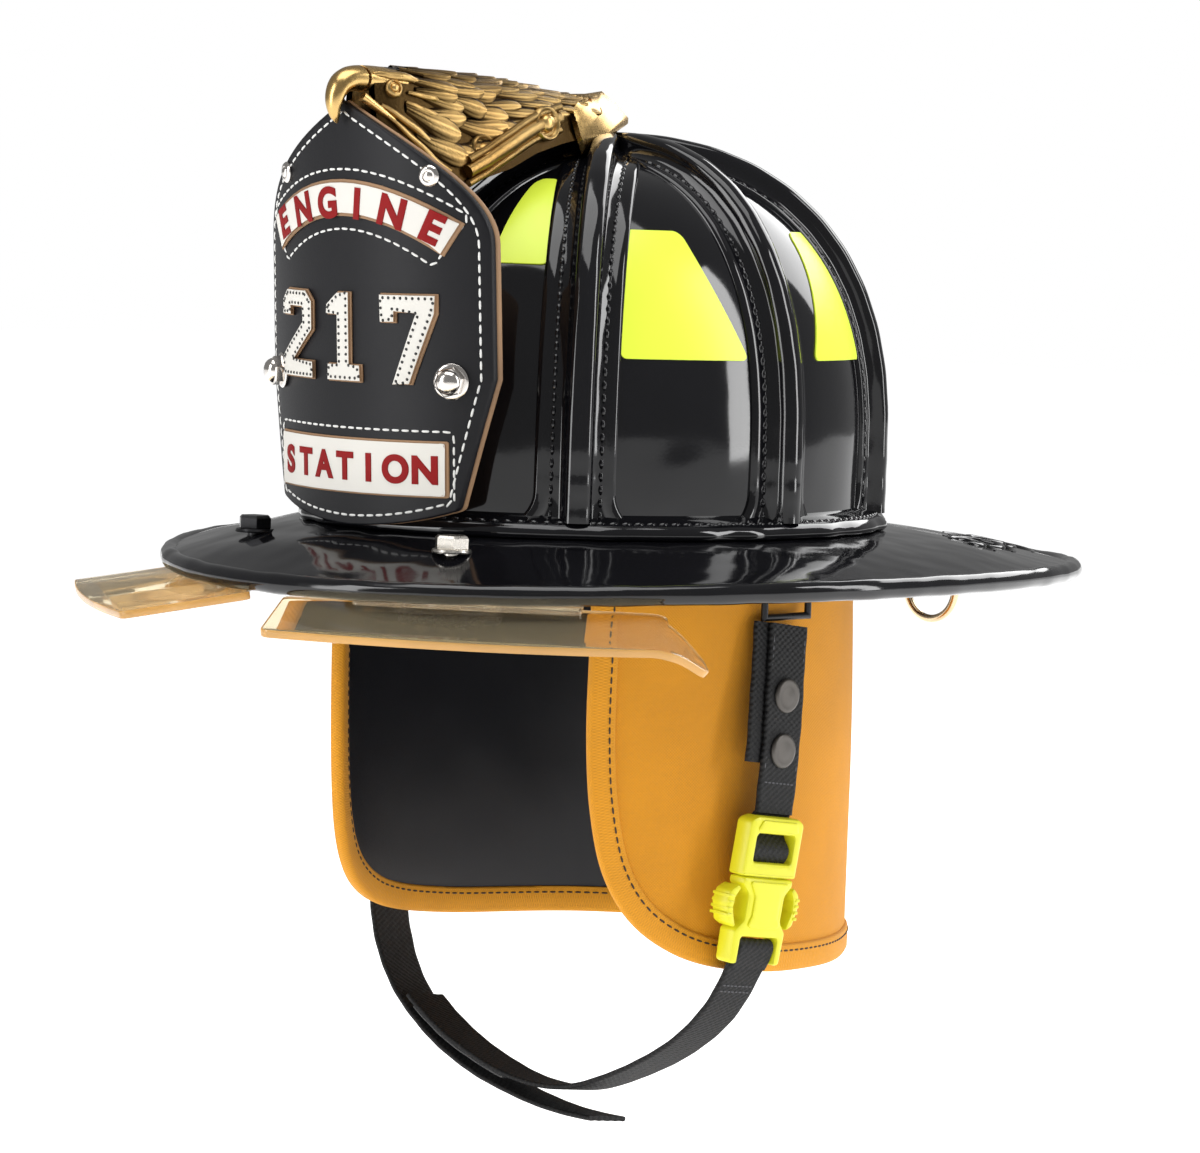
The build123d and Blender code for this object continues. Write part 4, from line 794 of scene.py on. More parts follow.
for k, corners in enumerate(NUMERALS):
    left = (k - 1) * 28 - 11
    glyph = rounded([(left + x, 51 + y, r) for x, y, r in corners], 3)
    owned = ["shield_numerals"] if k == 0 else []
    leather_cut(f"numeral_{k}_edge", [glyph], 4.0, 4.9, [TAN, TAN], owned, 2.0)
    leather_cut(f"numeral_{k}_face", [inset_line(glyph, 0.55)], 4.7, 5.9, [WHITE, TAN], [], 2.0)
    closed = inset_line(glyph, 1.75)
    holes += seam(lambda x, h: on_shield(x, h, 5.98), closed + closed[:1], 2.4, 1.15, 1.15)
sewn("numeral_stitch_holes", holes, BLACK_THREAD)


def word(name, text, size, bold, base, radius, squeeze=1.0):
    """Red leather capitals, each set on a straight or arched line."""
    for k, letter in enumerate(text):
        spot = (k - (len(text) - 1) / 2) * squeeze
        tilt = -spot / radius if radius else 0.0
        drop = spot * spot / (2 * radius) if radius else 0.0

        def shift(x, y, spot=spot, tilt=tilt, drop=drop):
            return (spot + x * cos(tilt) - y * sin(tilt), base - drop + x * sin(tilt) + y * cos(tilt))

        leather_cut(f"{name}_{k}", [], 5.2, 5.62, [RED, RED], [], 3.0, (letter, size, bold), shift, 0.08)


word("top_letter", "ENGINE", 14.5, 0.55, 109.4, 82.0, 14.2)
word("bottom_letter", "STATION", 13.2, 0.5, 16.8, 0.0, 11.4)

shield_seams = []
closed = inset_line(OUTLINE, 3.6)
shield_seams += seam(lambda x, h: on_shield(x, h, 4.15), closed + [closed[0]], 4.2, 3.3, 0.85)
low_arch, high_arch = arc_line(-37, 37, 92.5, 105), arc_line(49.5, -49.5, 110, 126)
arch = rounded([(*low_arch[0], 5)] + [(x, h, 0) for x, h in low_arch[1:-1]] + [(*low_arch[-1], 5)]
               + [(*high_arch[0], 5)] + [(x, h, 0) for x, h in high_arch[1:-1]] + [(*high_arch[-1], 5)])
for line in (arch + [arch[0]], rounded([(-43.5, 10, 0), (-43.5, 34.8, 3), (43.5, 34.8, 3), (43.5, 10, 0)])):
    shield_seams += seam(lambda x, h: on_shield(x, h, 4.15), line, 4.0, 3.1, 0.85)
sewn("shield_stitches", shield_seams, WHITE_THREAD)

rivets, nuts = [], []
for side in (1, -1):
    p, n = on_shield(side * 36, 124, 4.1)
    rivets.append(turned(p, n, [(3.7, -0.2), (3.8, 0.5), (3.3, 1.2), (2.3, 1.5), (1.9, 1.35), (1.6, 1.7),
                                (0.9, 1.95), (0.1, 2.0)]))
    p, n = on_shield(side * 43, 52.5, 4.1)
    nuts.append(turned(p, n, [(6.3, 0.0), (6.4, 0.7), (5.9, 1.1), (5.4, 1.2)]))
    nuts.append(turned(p, n, [(5.4, 1.1), (5.5, 1.3), (5.5, 3.9), (5.0, 4.5)], 6, along=Vector((0.3, 0, 1))))
    nuts.append(turned(p, n, [(4.5, 4.2), (4.4, 4.7), (4.0, 5.5), (3.2, 6.4), (2.0, 7.0), (0.2, 7.2)]))
merged("shield_rivet_heads", rivets, NICKEL, nodes=["shield_rivets"])
merged("acorn_nuts", nuts, NICKEL, sharp=30, nodes=["shield_acorn_nuts"])

# ---- eagle holder --------------------------------------------------------------------------------
# along Y: lower edge, half-width there, shoulder height, half-width at the shoulder, crest height
BODY = [(-129, 139, 9.5, 155, 7.0, 163.6), (-120, 131, 14, 154, 9.5, 164.2),
        (-108, 124.5, 17, 152, 11.5, 163.6), (-96, 124, 18, 150, 13, 163.0), (-84, 126, 18, 149, 14, 162.3),
        (-70, 130, 17.5, 150, 14, 161.4), (-56, 136, 16.5, 151, 13.5, 160.6),
        (-42, 140, 16, 151.5, 13, 158.6), (-30, 142.5, 15.5, 151.5, 12.5, 157.4),
        (-18, 144.5, 14, 151.5, 12, 157.2)]


def body_at(y):
    """The casting's section at a place along it."""
    for a, b in zip(BODY, BODY[1:]):
        if y <= b[0] or b is BODY[-1]:
            t = max(0.0, min(1.0, (y - a[0]) / (b[0] - a[0])))
            return [p + (q - p) * t for p, q in zip(a, b)]


def eagle(y, round_it, lift=0.0):
    """Point of the casting's skin: round_it runs from -1, right lower edge, over the crest to 1."""
    _, low, foot, shoulder, wide, crest = body_at(y)
    side, t = (1 if round_it >= 0 else -1), abs(round_it)
    if t < 0.55:
        ang = t / 0.55 * pi / 2
        x, z = wide * sin(ang) ** 0.85, shoulder + (crest - shoulder) * max(cos(ang), 0) ** 0.9
    else:
        share = (t - 0.55) / 0.45
        x, z = wide + (foot - wide) * share, shoulder + (low - shoulder) * share
    lean = min(t, 0.55) / 0.55 * pi / 2
    return Vector((side * x, y, z)) + Vector((side * sin(lean), 0, cos(lean))) * lift


def eagle_normal(y, t):
    """Outward direction of the casting's skin."""
    a = eagle(y + 1, t) - eagle(y - 1, t)
    b = eagle(y, min(t + 0.04, 1)) - eagle(y, max(t - 0.04, -1))
    return b.cross(a).normalized()


brass_parts, brass_relief = [], []


def cast(part, painted_tone):
    """Adds a part to the casting; its painted tone runs from 0, painted shade in the hollows, to 1, a painted
    highlight on the high spots.
    """
    brass_parts.append(part)
    brass_relief.extend(painted_tone if isinstance(painted_tone, list) else [painted_tone] * len(part[0]))


rows, cols = 44, 41
outer, inner = [], []
for r in range(rows):
    y = -129 + 112 * r / (rows - 1)
    for c in range(cols):
        t = -1 + 2 * c / (cols - 1)
        outer.append(eagle(y, t))
        inner.append(eagle(y, t * 0.985, -3.0))
# the body and its front brow are cast dark: painted shade under the feathers
cast(shell(outer, inner, rows, cols), 0.04)
brow = outer[:cols] + [p + Vector((0, 3, 0)) for p in outer[:cols]]
cast((brow, [tuple(range(cols)), tuple(range(2 * cols - 1, cols - 1, -1))]), 0.15)


def feather(y, t, length, width, lift, twist):
    """One cast feather from its root at y, sweeping back, its tip standing proud."""
    verts, faces, shade = [], [], []
    rows, cols = 17, 13
    for r in range(rows):
        u = r / (rows - 1)
        wide = width * (0.55 + 0.9 * u) * sqrt(max(0.0, 1 - max(0, (u - 0.55) / 0.47) ** 2.2))
        for c in range(cols):
            v = -1 + 2 * c / (cols - 1)
            yy = y + length * u
            tt = max(-1, min(1, t + twist * u + v * wide / 44))
            dome, barb = (1 - v * v) * 0.8, cos(4 * pi * v + 2.5 * u)
            rise = 0.1 + lift * u ** 1.3 + dome + 0.14 * barb * (1 - abs(v))
            verts.append(eagle(yy, tt) + eagle_normal(yy, tt) * rise)
            # painted light: lighter towards the raised tip, painted shade at the feather's edges and in the
            # barb grooves
            shade.append(max(0.0, min(1.0, 0.05 + 0.72 * u - 0.70 * v * v + 0.24 * barb)))
    return verts, grid_faces(rows, cols), shade


for r in range(10):
    y = -115 + 8.2 * r
    count = 13 + (r % 2)
    for c in range(count):
        t = -0.93 + 1.86 * c / (count - 1) + rng.uniform(-0.03, 0.03)
        if abs(t) > (0.78 - 0.006 * (y + 93) if y < -43 else 0.5):
            continue
        verts, faces, shade = feather(y + rng.uniform(-2.5, 2.5), t, rng.uniform(16, 25),
                                      rng.uniform(2.4, 3.5), rng.uniform(0.9, 1.9),
                                      rng.uniform(-0.02, 0.10) * (1 if t > 0 else -1))
        cast((verts, faces), shade)
# brow and cheek strands: place round the casting and Y at both ends, thickness
STRANDS = [(0.30, 0.34, -129, -108, 1.5), (0.66, 0.80, -127, -104, 1.1), (0.74, 0.93, -125, -100, 1.0),
           (0.84, 1.0, -122, -98, 1.0), (0.58, 0.62, -117, -100, 1.0), (0.50, 0.50, -116, -99, 1.0)]
# turned details: profiles and their painted light levels
EYE = [([(3.4, -1.5), (3.5, 0.3), (3.0, 1.1), (2.3, 1.2), (2.0, 0.5), (0.1, 0.4)], 0.75),
       ([(1.7, -0.5), (1.7, 0.9), (1.1, 1.5), (0.1, 1.7)], 1.0)]
RIVET = [([(6.4, -2.0), (6.5, 1.6), (5.9, 2.4), (5.0, 2.2), (4.4, 1.0), (0.1, 0.9)], 0.6),
         ([(3.3, 0.5), (3.3, 1.8), (2.6, 3.0), (1.3, 3.6), (0.1, 3.7)], 1.0)]
# the strands, eyes, bar and rivets below get painted highlights, less on their rims and side lines
for side in (1, -1):
    for t0, t1, y0, y1, size in STRANDS:
        line = [eagle(y0 + (y1 - y0) * j / 10, side * (t0 + (t1 - t0) * j / 10), 0.4 + 0.3 * sin(j * 1.3))
                for j in range(11)]
        cast(tube(line, lambda u, s=size: s * (0.35 + 0.85 * sin(pi * (0.08 + 0.9 * u))), 8), 0.8)
    p, n = eagle(-121.5, side * 0.48), Vector((side, -0.15, 0.35)).normalized()
    for profile, painted_tone in EYE:
        cast(turned(p, n, profile, 20), painted_tone)
    # the smooth bar with its two rivets along the lower edge
    bar = []
    for j in range(25):
        u = j / 24
        y = -93 + 50 * u
        tt = 0.93 - 0.30 * u
        bar.append(eagle(y, side * tt) + Vector((side, 0, -0.15)) * 1.2)
    cast(tube(bar, lambda u: 2.5 + 0.5 * sin(pi * u), 12), 0.75)
    cast(tube([p + Vector((side * 0.6, 0, -4.3)) for p in bar], 1.5, 8), 0.5)
    cast(tube([p + Vector((side * 0.4, 0, 4.2)) for p in bar], 1.4, 8), 0.45)
    for y, z in ((-83.5, 135.5), (-51.5, 146.8)):
        p, n = Vector((side * 15.6, y, z)), Vector((side, 0, 0.12)).normalized()
        for profile, painted_tone in RIVET:
            cast(turned(p, n, profile, 24), painted_tone)
merged("eagle_casting", brass_parts, OLD_BRASS, sharp=60, relief=brass_relief, nodes=["eagle_holder"])

# the beak: smooth, hooked in front of the shield's tip
# along it: Y, Z, half-width and half-depth
BEAK = [(-115, 158.6, 9.6, 5.2), (-122, 159.0, 8.4, 5.2), (-129, 159.4, 7.0, 4.8),
        (-134.5, 159.2, 5.8, 4.4), (-138.8, 157.2, 4.9, 3.9), (-141.2, 153.6, 4.1, 3.2),
        (-141.9, 149.8, 3.2, 2.5), (-141.2, 146.0, 2.0, 1.7), (-140.0, 143.6, 0.5, 0.5)]
line = bezier([Vector((w, y, z)) for y, z, w, d in BEAK], 5)
deep = bezier([Vector((d, 0, 0)) for y, z, w, d in BEAK], 5)
rings = []
for k, p in enumerate(line):
    here = Vector((0, p.y, p.z))
    a, b = line[max(k - 1, 0)], line[min(k + 1, len(line) - 1)]
    way = Vector((0, b.y - a.y, b.z - a.z)).normalized()
    up = Vector((1, 0, 0)).cross(way).normalized()
    if up.z < 0 and k < 12:
        up = -up
    rings.append([here + Vector((p.x * sin(2 * pi * j / 20), 0, 0)) + up * (deep[k].x * cos(2 * pi * j / 20))
                  for j in range(20)])
for k in range(1, len(rings)):
    if (rings[k][0] - rings[k - 1][0]).length > (rings[k][10] - rings[k - 1][0]).length:
        rings[k] = rings[k][10:] + rings[k][:10]
polished = [loft(rings)]
JOWL = [(6.6, -134.5, 153.0), (8.2, -129, 149.5), (9.4, -122, 145.5), (10.3, -114, 141.6)]
for side in (1, -1):
    line = [Vector((side * x, y, z)) for x, y, z in JOWL]
    polished.append(tube(line, lambda u: 1.9 - 0.9 * u, 10))
# the polished tail plate: a folded diamond, peaked along its middle, its side tips swept down and forward
RIDGE_LINE = [Vector((0, y, z)) for y, z in ((-21, 157.6), (-13, 159.4), (-5, 160.6), (2, 157.0),
                                             (10, 151.2))]
TIP_LINE = [Vector(p) for p in ((14.5, -35.5, 152.5), (17.0, -35.5, 148), (18.0, -34, 143),
                                (17.6, -31.5, 138.5), (16.2, -27.5, 138.2))]
tail = []
for c in range(29):
    u = (c - 14) / 14
    for r in range(17):
        v = r / 16
        mid, tip = along_line(RIDGE_LINE, v), along_line(TIP_LINE, v)
        p = mid.lerp(tip, abs(u))
        swell = sin(pi * abs(u))
        p += Vector((3.2 * swell, 0, 1.6 * swell + 0.5 * sin(9 * u + 5 * v) * abs(u)))
        tail.append(Vector((p.x if u >= 0 else -p.x, p.y, p.z)))
polished.append(shell(tail, [p - Vector((p.x * 0.10, 0, 2.0)) for p in tail], 29, 17))
merged("eagle_beak_and_tail", polished, BRASS, sharp=50)

# ---- eyeshields ----------------------------------------------------------------------------------
HINGE = radians(34.2)
ALONG, OUT = Vector((cos(HINGE), sin(HINGE), 0)), Vector((sin(HINGE), -cos(HINGE), 0))
HINGE_AT = Vector((58.5, -123.0, -22.0)) + OUT * 4.0
DROP = radians(10)
LENS_OUT = OUT * cos(DROP) - Vector((0, 0, sin(DROP)))
LENS_DOWN = ALONG.cross(LENS_OUT)
LENS_AT = HINGE_AT - LENS_OUT * 4.0
K0, K1 = Vector((69, 8)), Vector((77, 55))
kink = (K1 - K0).normalized()
off = Vector((kink.y, -kink.x))
arc = []
for j in range(1, 20):
    t = j / 20
    p = (1 - t) ** 2 * K1 + 2 * t * (1 - t) * Vector((12, 63.8)) + t * t * Vector((-64, 54))
    arc.append((p.x, p.y, 0))
tip = [K0 + kink * 9, K0 + kink * 30 + off * 13, K0 + kink * 43 + off * 15.5, K1]
lens_outline = rounded([(-64, 54, 9), (-66, 8, 3), (69, 8, 3), (*tip[0], 6), (*tip[1], 7), (*tip[2], 5),
                        (*tip[3], 6)] + arc)
BEND = radians(36)


def lens_point(x, y, z):
    """From the flat lens to its place; past the kink line the tip curls down."""
    s = (Vector((x, y)) - K0).dot(off)
    a = (Vector((x, y)) - K0).dot(kink)
    soft = 7.0
    if s > -soft:
        turn_by = BEND * min((s + soft) / (2 * soft), 1.0)
        run = 2 * soft / BEND * sin(turn_by) - soft + max(s - soft, 0) * cos(BEND)
        dip = 2 * soft / BEND * (1 - cos(turn_by)) + max(s - soft, 0) * sin(BEND)
        run, dip = run - z * sin(turn_by), dip + z * cos(turn_by)
    else:
        run, dip = s, z
    flat = K0 + kink * a + off * run
    return LENS_AT + ALONG * flat.x + LENS_OUT * flat.y + LENS_DOWN * dip


cuts = [(tuple(K0 + off * s), tuple(off)) for s in (-7, -5, -3, -1, 1, 3, 5, 7)]
verts, faces, marks = plate([lens_outline], 2.8, 0.45, 0, lines=cuts)
for side, label in ((1, "left"), (-1, "right")):
    bent = [lens_point(v.x, v.y, v.z) for v in verts]
    if side < 0:
        bent = [Vector((-p.x, p.y, p.z)) for p in bent]
    shown = [tuple(reversed(f)) for f in faces] if side < 0 else faces
    flats = [0 if mark == 0 or abs(sum(verts[i].z for i in f) / len(f)) > 1.35 else 1
             for mark, f in zip(marks, faces)]
    piece(f"eyeshield_{label}", bent, shown, [AMBER, AMBER_EDGE], f"{label}_eyeshield", slots=flats, sharp=30,
          nodes=[f"lens_{label}"])

# ---- brim bolts and the rear ring ----------------------------------------------------------------
for side, mat, label in ((1, STEEL, "left"), (-1, BLACK_STEEL, "right")):
    at = Vector((side * 50.5, -127, -4.4))
    up = Vector((0, 0, 1))
    parts = [turned(at, up, [(7.0, 0), (7.2, 0.5), (6.8, 1.3), (3, 1.4)]),
             turned(at, up, [(6.1, 1.3), (6.3, 1.6), (6.3, 5.2), (5.5, 6.1), (0.5, 6.25)], 6,
                    along=Vector((1, 0.4, 0))),
             turned(at, up, [(3.0, 0.1), (3.0, -15.2), (0.2, -15.3)], 20)]
    merged(f"brim_bolt_{label}", parts, mat, sharp=30, nodes=["brim_bolts"] if side > 0 else [])
ring = [Vector((-12.5, 202, -21.5)), Vector((12.5, 202, -21.5))]
ring += [Vector((12.5 * cos(a), 202, -32.5 - 12.5 * sin(a))) for a in (pi * j / 20 for j in range(21))]
verts, faces = tube(ring, 1.6, 14, closed=True, normal=Vector((0, 1, 0)))
piece("hanging_ring", verts, faces, [finish_of("ring_brass", (0.80, 0.62, 0.40), 0.2, metal=1, spread=0.2)],
      "rear_ring", sharp=80, nodes=["rear_ring"])

# ---- earlap cape ---------------------------------------------------------------------------------
CAPE_X, CAPE_Y, CAPE_TOP, CAPE_DROP = 88.0, 108.0, -4, 160
CAPE_FOOT = CAPE_TOP - CAPE_DROP


def cape(phi, z, lift=0.0):
    """Point of the cape's outer face: phi turns from the front; soft folds come in lower down."""
    low = min(max((CAPE_TOP - z) / 157, 0), 1)
    rear = max(0, -cos(phi))
    wave = (1.6 * sin(5 * phi + 0.6) + 0.9 * sin(9 * phi + 2)) * low ** 1.4 * (0.12 + 0.88 * rear)
    wave -= 2.2 * low ** 1.3 * (1 - rear) ** 2
    wave += 5.0 * rear ** 2 * sin(pi * min(low * 1.6, 1) / 2)
    out = Vector((sin(phi) / CAPE_X, -cos(phi) / CAPE_Y, 0)).normalized()
    return Vector((CAPE_X * sin(phi), -CAPE_Y * cos(phi), z)) + out * (wave + lift)


def phi_at(y):
    """Turn of the cape's oval at a place along Y."""
    return atan2(sqrt(max(1 - (y / CAPE_Y) ** 2, 0.0)), -y / CAPE_Y)


# the free edge from the brim down the front, round the corner and along the hem: (Y, Z)
EDGE_POINTS = [(-71, CAPE_TOP), (-71, -36), (-71, -70), (-69, -98), (-64, -121), (-54, -138), (-38, -149.5),
               (-18, -156), (10, -160), (40, -161.8), (75, -163), (108, CAPE_FOOT)]
EDGE = [Vector((min(phi_at(p.x), pi), p.y)) for p in bezier([Vector((y, z, 0)) for y, z in EDGE_POINTS], 10)]
CORNER = 46


def even(line, count):
    """A line of (phi, z) resampled to equal steps on the cloth."""
    steps = [0.0]
    for a, b in zip(line, line[1:]):
        steps.append(steps[-1] + (cape(b.x, b.y) - cape(a.x, a.y)).length)
    out, k = [], 0
    for j in range(count):
        want = steps[-1] * j / (count - 1)
        while k < len(steps) - 2 and steps[k + 1] < want:
            k += 1
        out.append(line[k].lerp(line[k + 1], (want - steps[k]) / max(steps[k + 1] - steps[k], 1e-9)))
    return out


side_edge, foot_edge = even(EDGE[:CORNER + 1], 41), even(EDGE[CORNER:], 61)
half_cape = []
for r in range(41):
    v = r / 40
    left, right = side_edge[r], Vector((pi, CAPE_TOP - CAPE_DROP * v))
    row = []
    for c in range(61):
        u = c / 60
        top = Vector((EDGE[0].x + (pi - EDGE[0].x) * u, CAPE_TOP))
        foot = foot_edge[c]
        p = left * (1 - u) + right * u + top * (1 - v) + foot * v
        p -= EDGE[0] * ((1 - u) * (1 - v)) + Vector((pi, CAPE_TOP)) * (u * (1 - v))
        p -= EDGE[CORNER] * ((1 - u) * v) + Vector((pi, CAPE_FOOT)) * (u * v)
        row.append(p)
    half_cape.append(row)


def cloth_piece(name, lift, skin, mat, nodes):
    """One cloth layer of the cape, and the grid of its outer face."""
    outer, inner, uv = [], [], []
    for row in half_cape:
        full = [(p.x, p.y) for p in row] + [(2 * pi - p.x, p.y) for p in reversed(row[:-1])]
        for phi, z in full:
            outer.append(cape(phi, z, lift))
            inner.append(cape(phi, z, lift - skin))
            uv.append((phi * 0.098, z * MM))
    verts, faces = shell(inner, outer, 41, 121)
    return piece(name, verts, faces, [mat], sharp=60, uv=uv + uv, nodes=nodes), outer


outer_cloth, grid = cloth_piece("cape_outer", 0.0, 1.2, GOLD_CLOTH, ["earlap_outer"])
lining, _ = cloth_piece("cape_lining", -1.45, 1.2, LINING, ["earlap_lining"])
for r in range(40):
    for c in range(120):
        a, b, d = grid[r * 121 + c], grid[r * 121 + c + 1], grid[(r + 1) * 121 + c]

full_edge = even(EDGE, 150)
full_edge = full_edge + [Vector((2 * pi - p.x, p.y)) for p in reversed(full_edge[:-1])]


def inward(k):
    """Direction across the free edge into the cloth, in turn and height, for 1 mm."""
    a, b = full_edge[max(k - 1, 0)], full_edge[min(k + 1, len(full_edge) - 1)]
    rho = hypot(CAPE_X * cos(full_edge[k].x), CAPE_Y * sin(full_edge[k].x))
    way = Vector(((b.x - a.x) * rho, b.y - a.y)).normalized()
    return Vector((-way.y / rho, way.x))


# the binding's section: distance in from the edge, lift off the outer face
TAPE = [(10.0, 0.15), (9.8, 0.9), (9.0, 1.15), (5.0, 1.25), (1.2, 1.2), (0.1, 0.6), (-0.4, -1.4), (0.1, -3.4),
        (1.2, -4.0), (5.0, -4.05), (9.0, -3.95), (9.8, -3.7), (10.0, -2.8)]
rings, uv = [], []
for k, p in enumerate(full_edge):
    n = inward(k)
    ring = []
    for j, (d, lift) in enumerate(TAPE):
        q = p + n * d
        ring.append(cape(q.x, min(q.y, CAPE_TOP), lift))
        uv.append((k * 0.0022, j * 0.0016))
    rings.append(ring)
verts, faces = loft(rings)
binding = piece("cape_binding", verts, [tuple(reversed(f)) for f in faces], [GOLD_TAPE], sharp=60, uv=uv,
                nodes=["earlap_binding"])


def on_cape(lift, way=1):
    """Surface of the cape for stitches: its outer face, or with way -1 the inner one."""
    def surface(phi, z):
        return cape(phi, z, lift), Vector((sin(phi) / CAPE_X, -cos(phi) / CAPE_Y, 0)).normalized() * way
    return surface


SEAM = (3.6, 2.7, 0.75)
inside_line = [tuple(full_edge[k] + inward(k) * 7.6) for k in range(2, len(full_edge) - 2)]
cape_seams = seam(on_cape(1.3), inside_line, *SEAM) + seam(on_cape(-4.1, -1), inside_line, *SEAM)
for phi, lean in ((2.62, 0.0004), (2 * pi - 2.62, -0.0004)):
    cape_seams += seam(on_cape(0.15), [(phi + lean * k, -6 - 3.7 * k) for k in range(40)], *SEAM)
stitching = sewn("cape_stitches", cape_seams, BROWN_THREAD)

# ---- straps --------------------------------------------------------------------------------------
TILT = radians(7.7)
STRAP_OUT = Vector((0, cos(TILT), -sin(TILT)))        # width direction of the webbing, rearward


def hang(x, v):
    """Point of the leaning plane that the chin strap hangs in."""
    return Vector((x, 5 + v * sin(TILT), -26 + v * cos(TILT)))


def spline_points(route, name):
    """The route's smooth line, as a spline through the same control points."""
    curve = bpy.data.curves.new(name, "CURVE")
    curve.dimensions, curve.resolution_u = "3D", 16
    spline = curve.splines.new("NURBS")
    spline.points.add(len(route) - 1)
    for point, (x, v) in zip(spline.points, route):
        point.co = (*(hang(x, v) * MM), 1)
    spline.order_u = 3
    spline.use_endpoint_u = True
    obj = bpy.data.objects.new(name, curve)
    bpy.context.scene.collection.objects.link(obj)
    graph = bpy.context.evaluated_depsgraph_get()
    mesh = bpy.data.meshes.new_from_object(obj.evaluated_get(graph))
    points = [v.co.copy() for v in mesh.vertices]
    bpy.data.objects.remove(obj)
    return points


def strap(name, points, thick, body, nodes, width=20.0, shift=0.0, lift=0.0, mat=WEBBING, first=0.0,
          last=1.0):
    """Webbing along points given in metres; its width lies across the hanging plane."""
    pts = [p / MM for p in points]
    pts = pts[int(first * (len(pts) - 1)):int(last * (len(pts) - 1)) + 1]
    rings, uv, run = [], [], 0.0
    section = [(-0.5, -0.18), (-0.485, -0.42), (-0.44, -0.5)]
    section += [(-0.44 + 0.88 * j / 8, -0.5) for j in range(1, 8)]
    section += [(0.44, -0.5), (0.485, -0.42), (0.5, -0.18)]
    section += [(w, -t) for w, t in reversed(section)]
    for k, p in enumerate(pts):
        a, b = pts[max(k - 1, 0)], pts[min(k + 1, len(pts) - 1)]
        way = (b - a).normalized()
        up = STRAP_OUT.cross(way).normalized()
        run += (p - a).length if k else 0
        swell = 1 + 0.012 * sin(run * 0.55) + 0.01 * sin(run * 0.23 + 1)
        ring = []
        for w, t in section:
            rib = 1 + 0.10 * cos(w * 2 * pi * 4.5)
            ring.append(p + STRAP_OUT * (w * width * swell + shift) + up * (t * thick * rib + lift))
            uv.append((run * MM, w * width * MM))
        rings.append(ring)
    verts, faces = loft(rings)
    return piece(name, verts, faces, [mat], body, uv=uv, sharp=60, nodes=nodes)


UPPER_ROUTE = [(92.5, -5.5), (94.5, -28), (96.5, -53), (96.5, -74)]
LEFT_ROUTE = [(94.3, -127), (90, -139), (80, -153.5), (65, -166), (44, -177.5), (20, -187), (-6, -187),
              (-30, -181), (-52, -172.5), (-66, -163.5)]
RIGHT_ROUTE = [(-92.5, -5.5), (-95.5, -38), (-96.5, -72), (-96.5, -106), (-92, -134), (-80, -157),
               (-59, -174), (-33, -186), (-5, -192.5), (20, -195.5), (36, -195)]
upper = spline_points(UPPER_ROUTE, "upper_line")
strap("upper_strap", upper, 1.8, "shell", ["left_upper_strap"], lift=-0.95)
strap("upper_strap_under", upper, 1.7, "shell", [], shift=-6.5, lift=0.9, last=0.78)
left_points = spline_points(LEFT_ROUTE, "left_line")
left_strap = strap("chin_strap_short", left_points, 1.8, "chin_strap", ["chin_strap_left"])
right_points = spline_points(RIGHT_ROUTE, "right_line")
# the long strap hangs from the shell; the shell, the chin strap and two points of its line are given, but the
# piece is only baked in place and rides on no body
blended = ("shell", "chin_strap", tuple(right_points[0]), tuple(right_points[len(right_points) * 2 // 5]))
right_strap = strap("chin_strap_long", right_points, 1.8, blended, ["chin_strap_right"])


def on_strap(route, offset):
    """Surface of a strap for stitches: share along it and distance across it, on its outer face."""
    def surface(share, across):
        k = min(max(share * (len(route) - 1), 0), len(route) - 1.001)
        p = route[int(k)].lerp(route[int(k) + 1], k - int(k)) / MM
        way = (route[int(k) + 1] - route[int(k)]).normalized()
        up = STRAP_OUT.cross(way).normalized()
        return p + STRAP_OUT * across + up * offset, up * (1 if offset > 0 else -1)
    return surface


GREY_THREAD = finish_of("grey_thread", (0.10, 0.10, 0.11), 0.7, spread=0.2, grain=3000, bump=0.04)
tacks = seam(on_strap(upper, -1.95), [(0.86, -8.2), (0.86, 8.2)], 1.9, 1.5, 0.6)
for a in (-8.6, 8.6):
    tacks += seam(on_strap(upper, -1.95), [(0.05, a), (0.8, a)], 3.0, 2.3, 0.55)
sewn("upper_strap_stitches", tacks, GREY_THREAD)
tacks = []
for share in (0.06, 0.075):
    tacks += seam(on_strap(left_points, -0.98), [(share, -8.2), (share, 8.2)], 1.9, 1.5, 0.6)
lower_tacks = sewn("lower_strap_stitches", tacks, GREY_THREAD, "chin_strap")
loops = strap("hook_and_loop_pad", left_points, 1.3, "chin_strap", [], width=19.0, lift=-1.2, mat=LOOP,
              first=0.72, last=0.985)
tuple(left_points[0])
[tuple(p) for p in left_points]
tuple(right_points[0])
[tuple(p) for p in right_points]

CAP = [(6.3, 0), (6.4, 0.5), (6.0, 1.1), (5.0, 1.35), (4.6, 1.2), (3.0, 1.45), (0.1, 1.6)]
parts = [turned(hang(x + 1.7, v), Vector((1, 0, 0)), CAP, 32) for v, x in ((-31.0, 95.0), (-51.0, 96.4))]
merged("strap_snap_caps", parts, SNAP, sharp=50, nodes=["strap_snaps"])

# ---- buckle: its own plane, up along the buckle and outward to the side --------------------------
TOP, FOOT = hang(98.0, -75.0), hang(94.5, -129.0)
B_UP = (TOP - FOOT).normalized()
B_OUT = STRAP_OUT.cross(B_UP).normalized()


def in_buckle(v, lift=0.0, arch=0.0):
    """Point given across, up and out of the buckle; arch bows its sides back."""
    return TOP + STRAP_OUT * v.x + B_UP * v.y + B_OUT * (v.z + lift - arch * v.x * v.x)


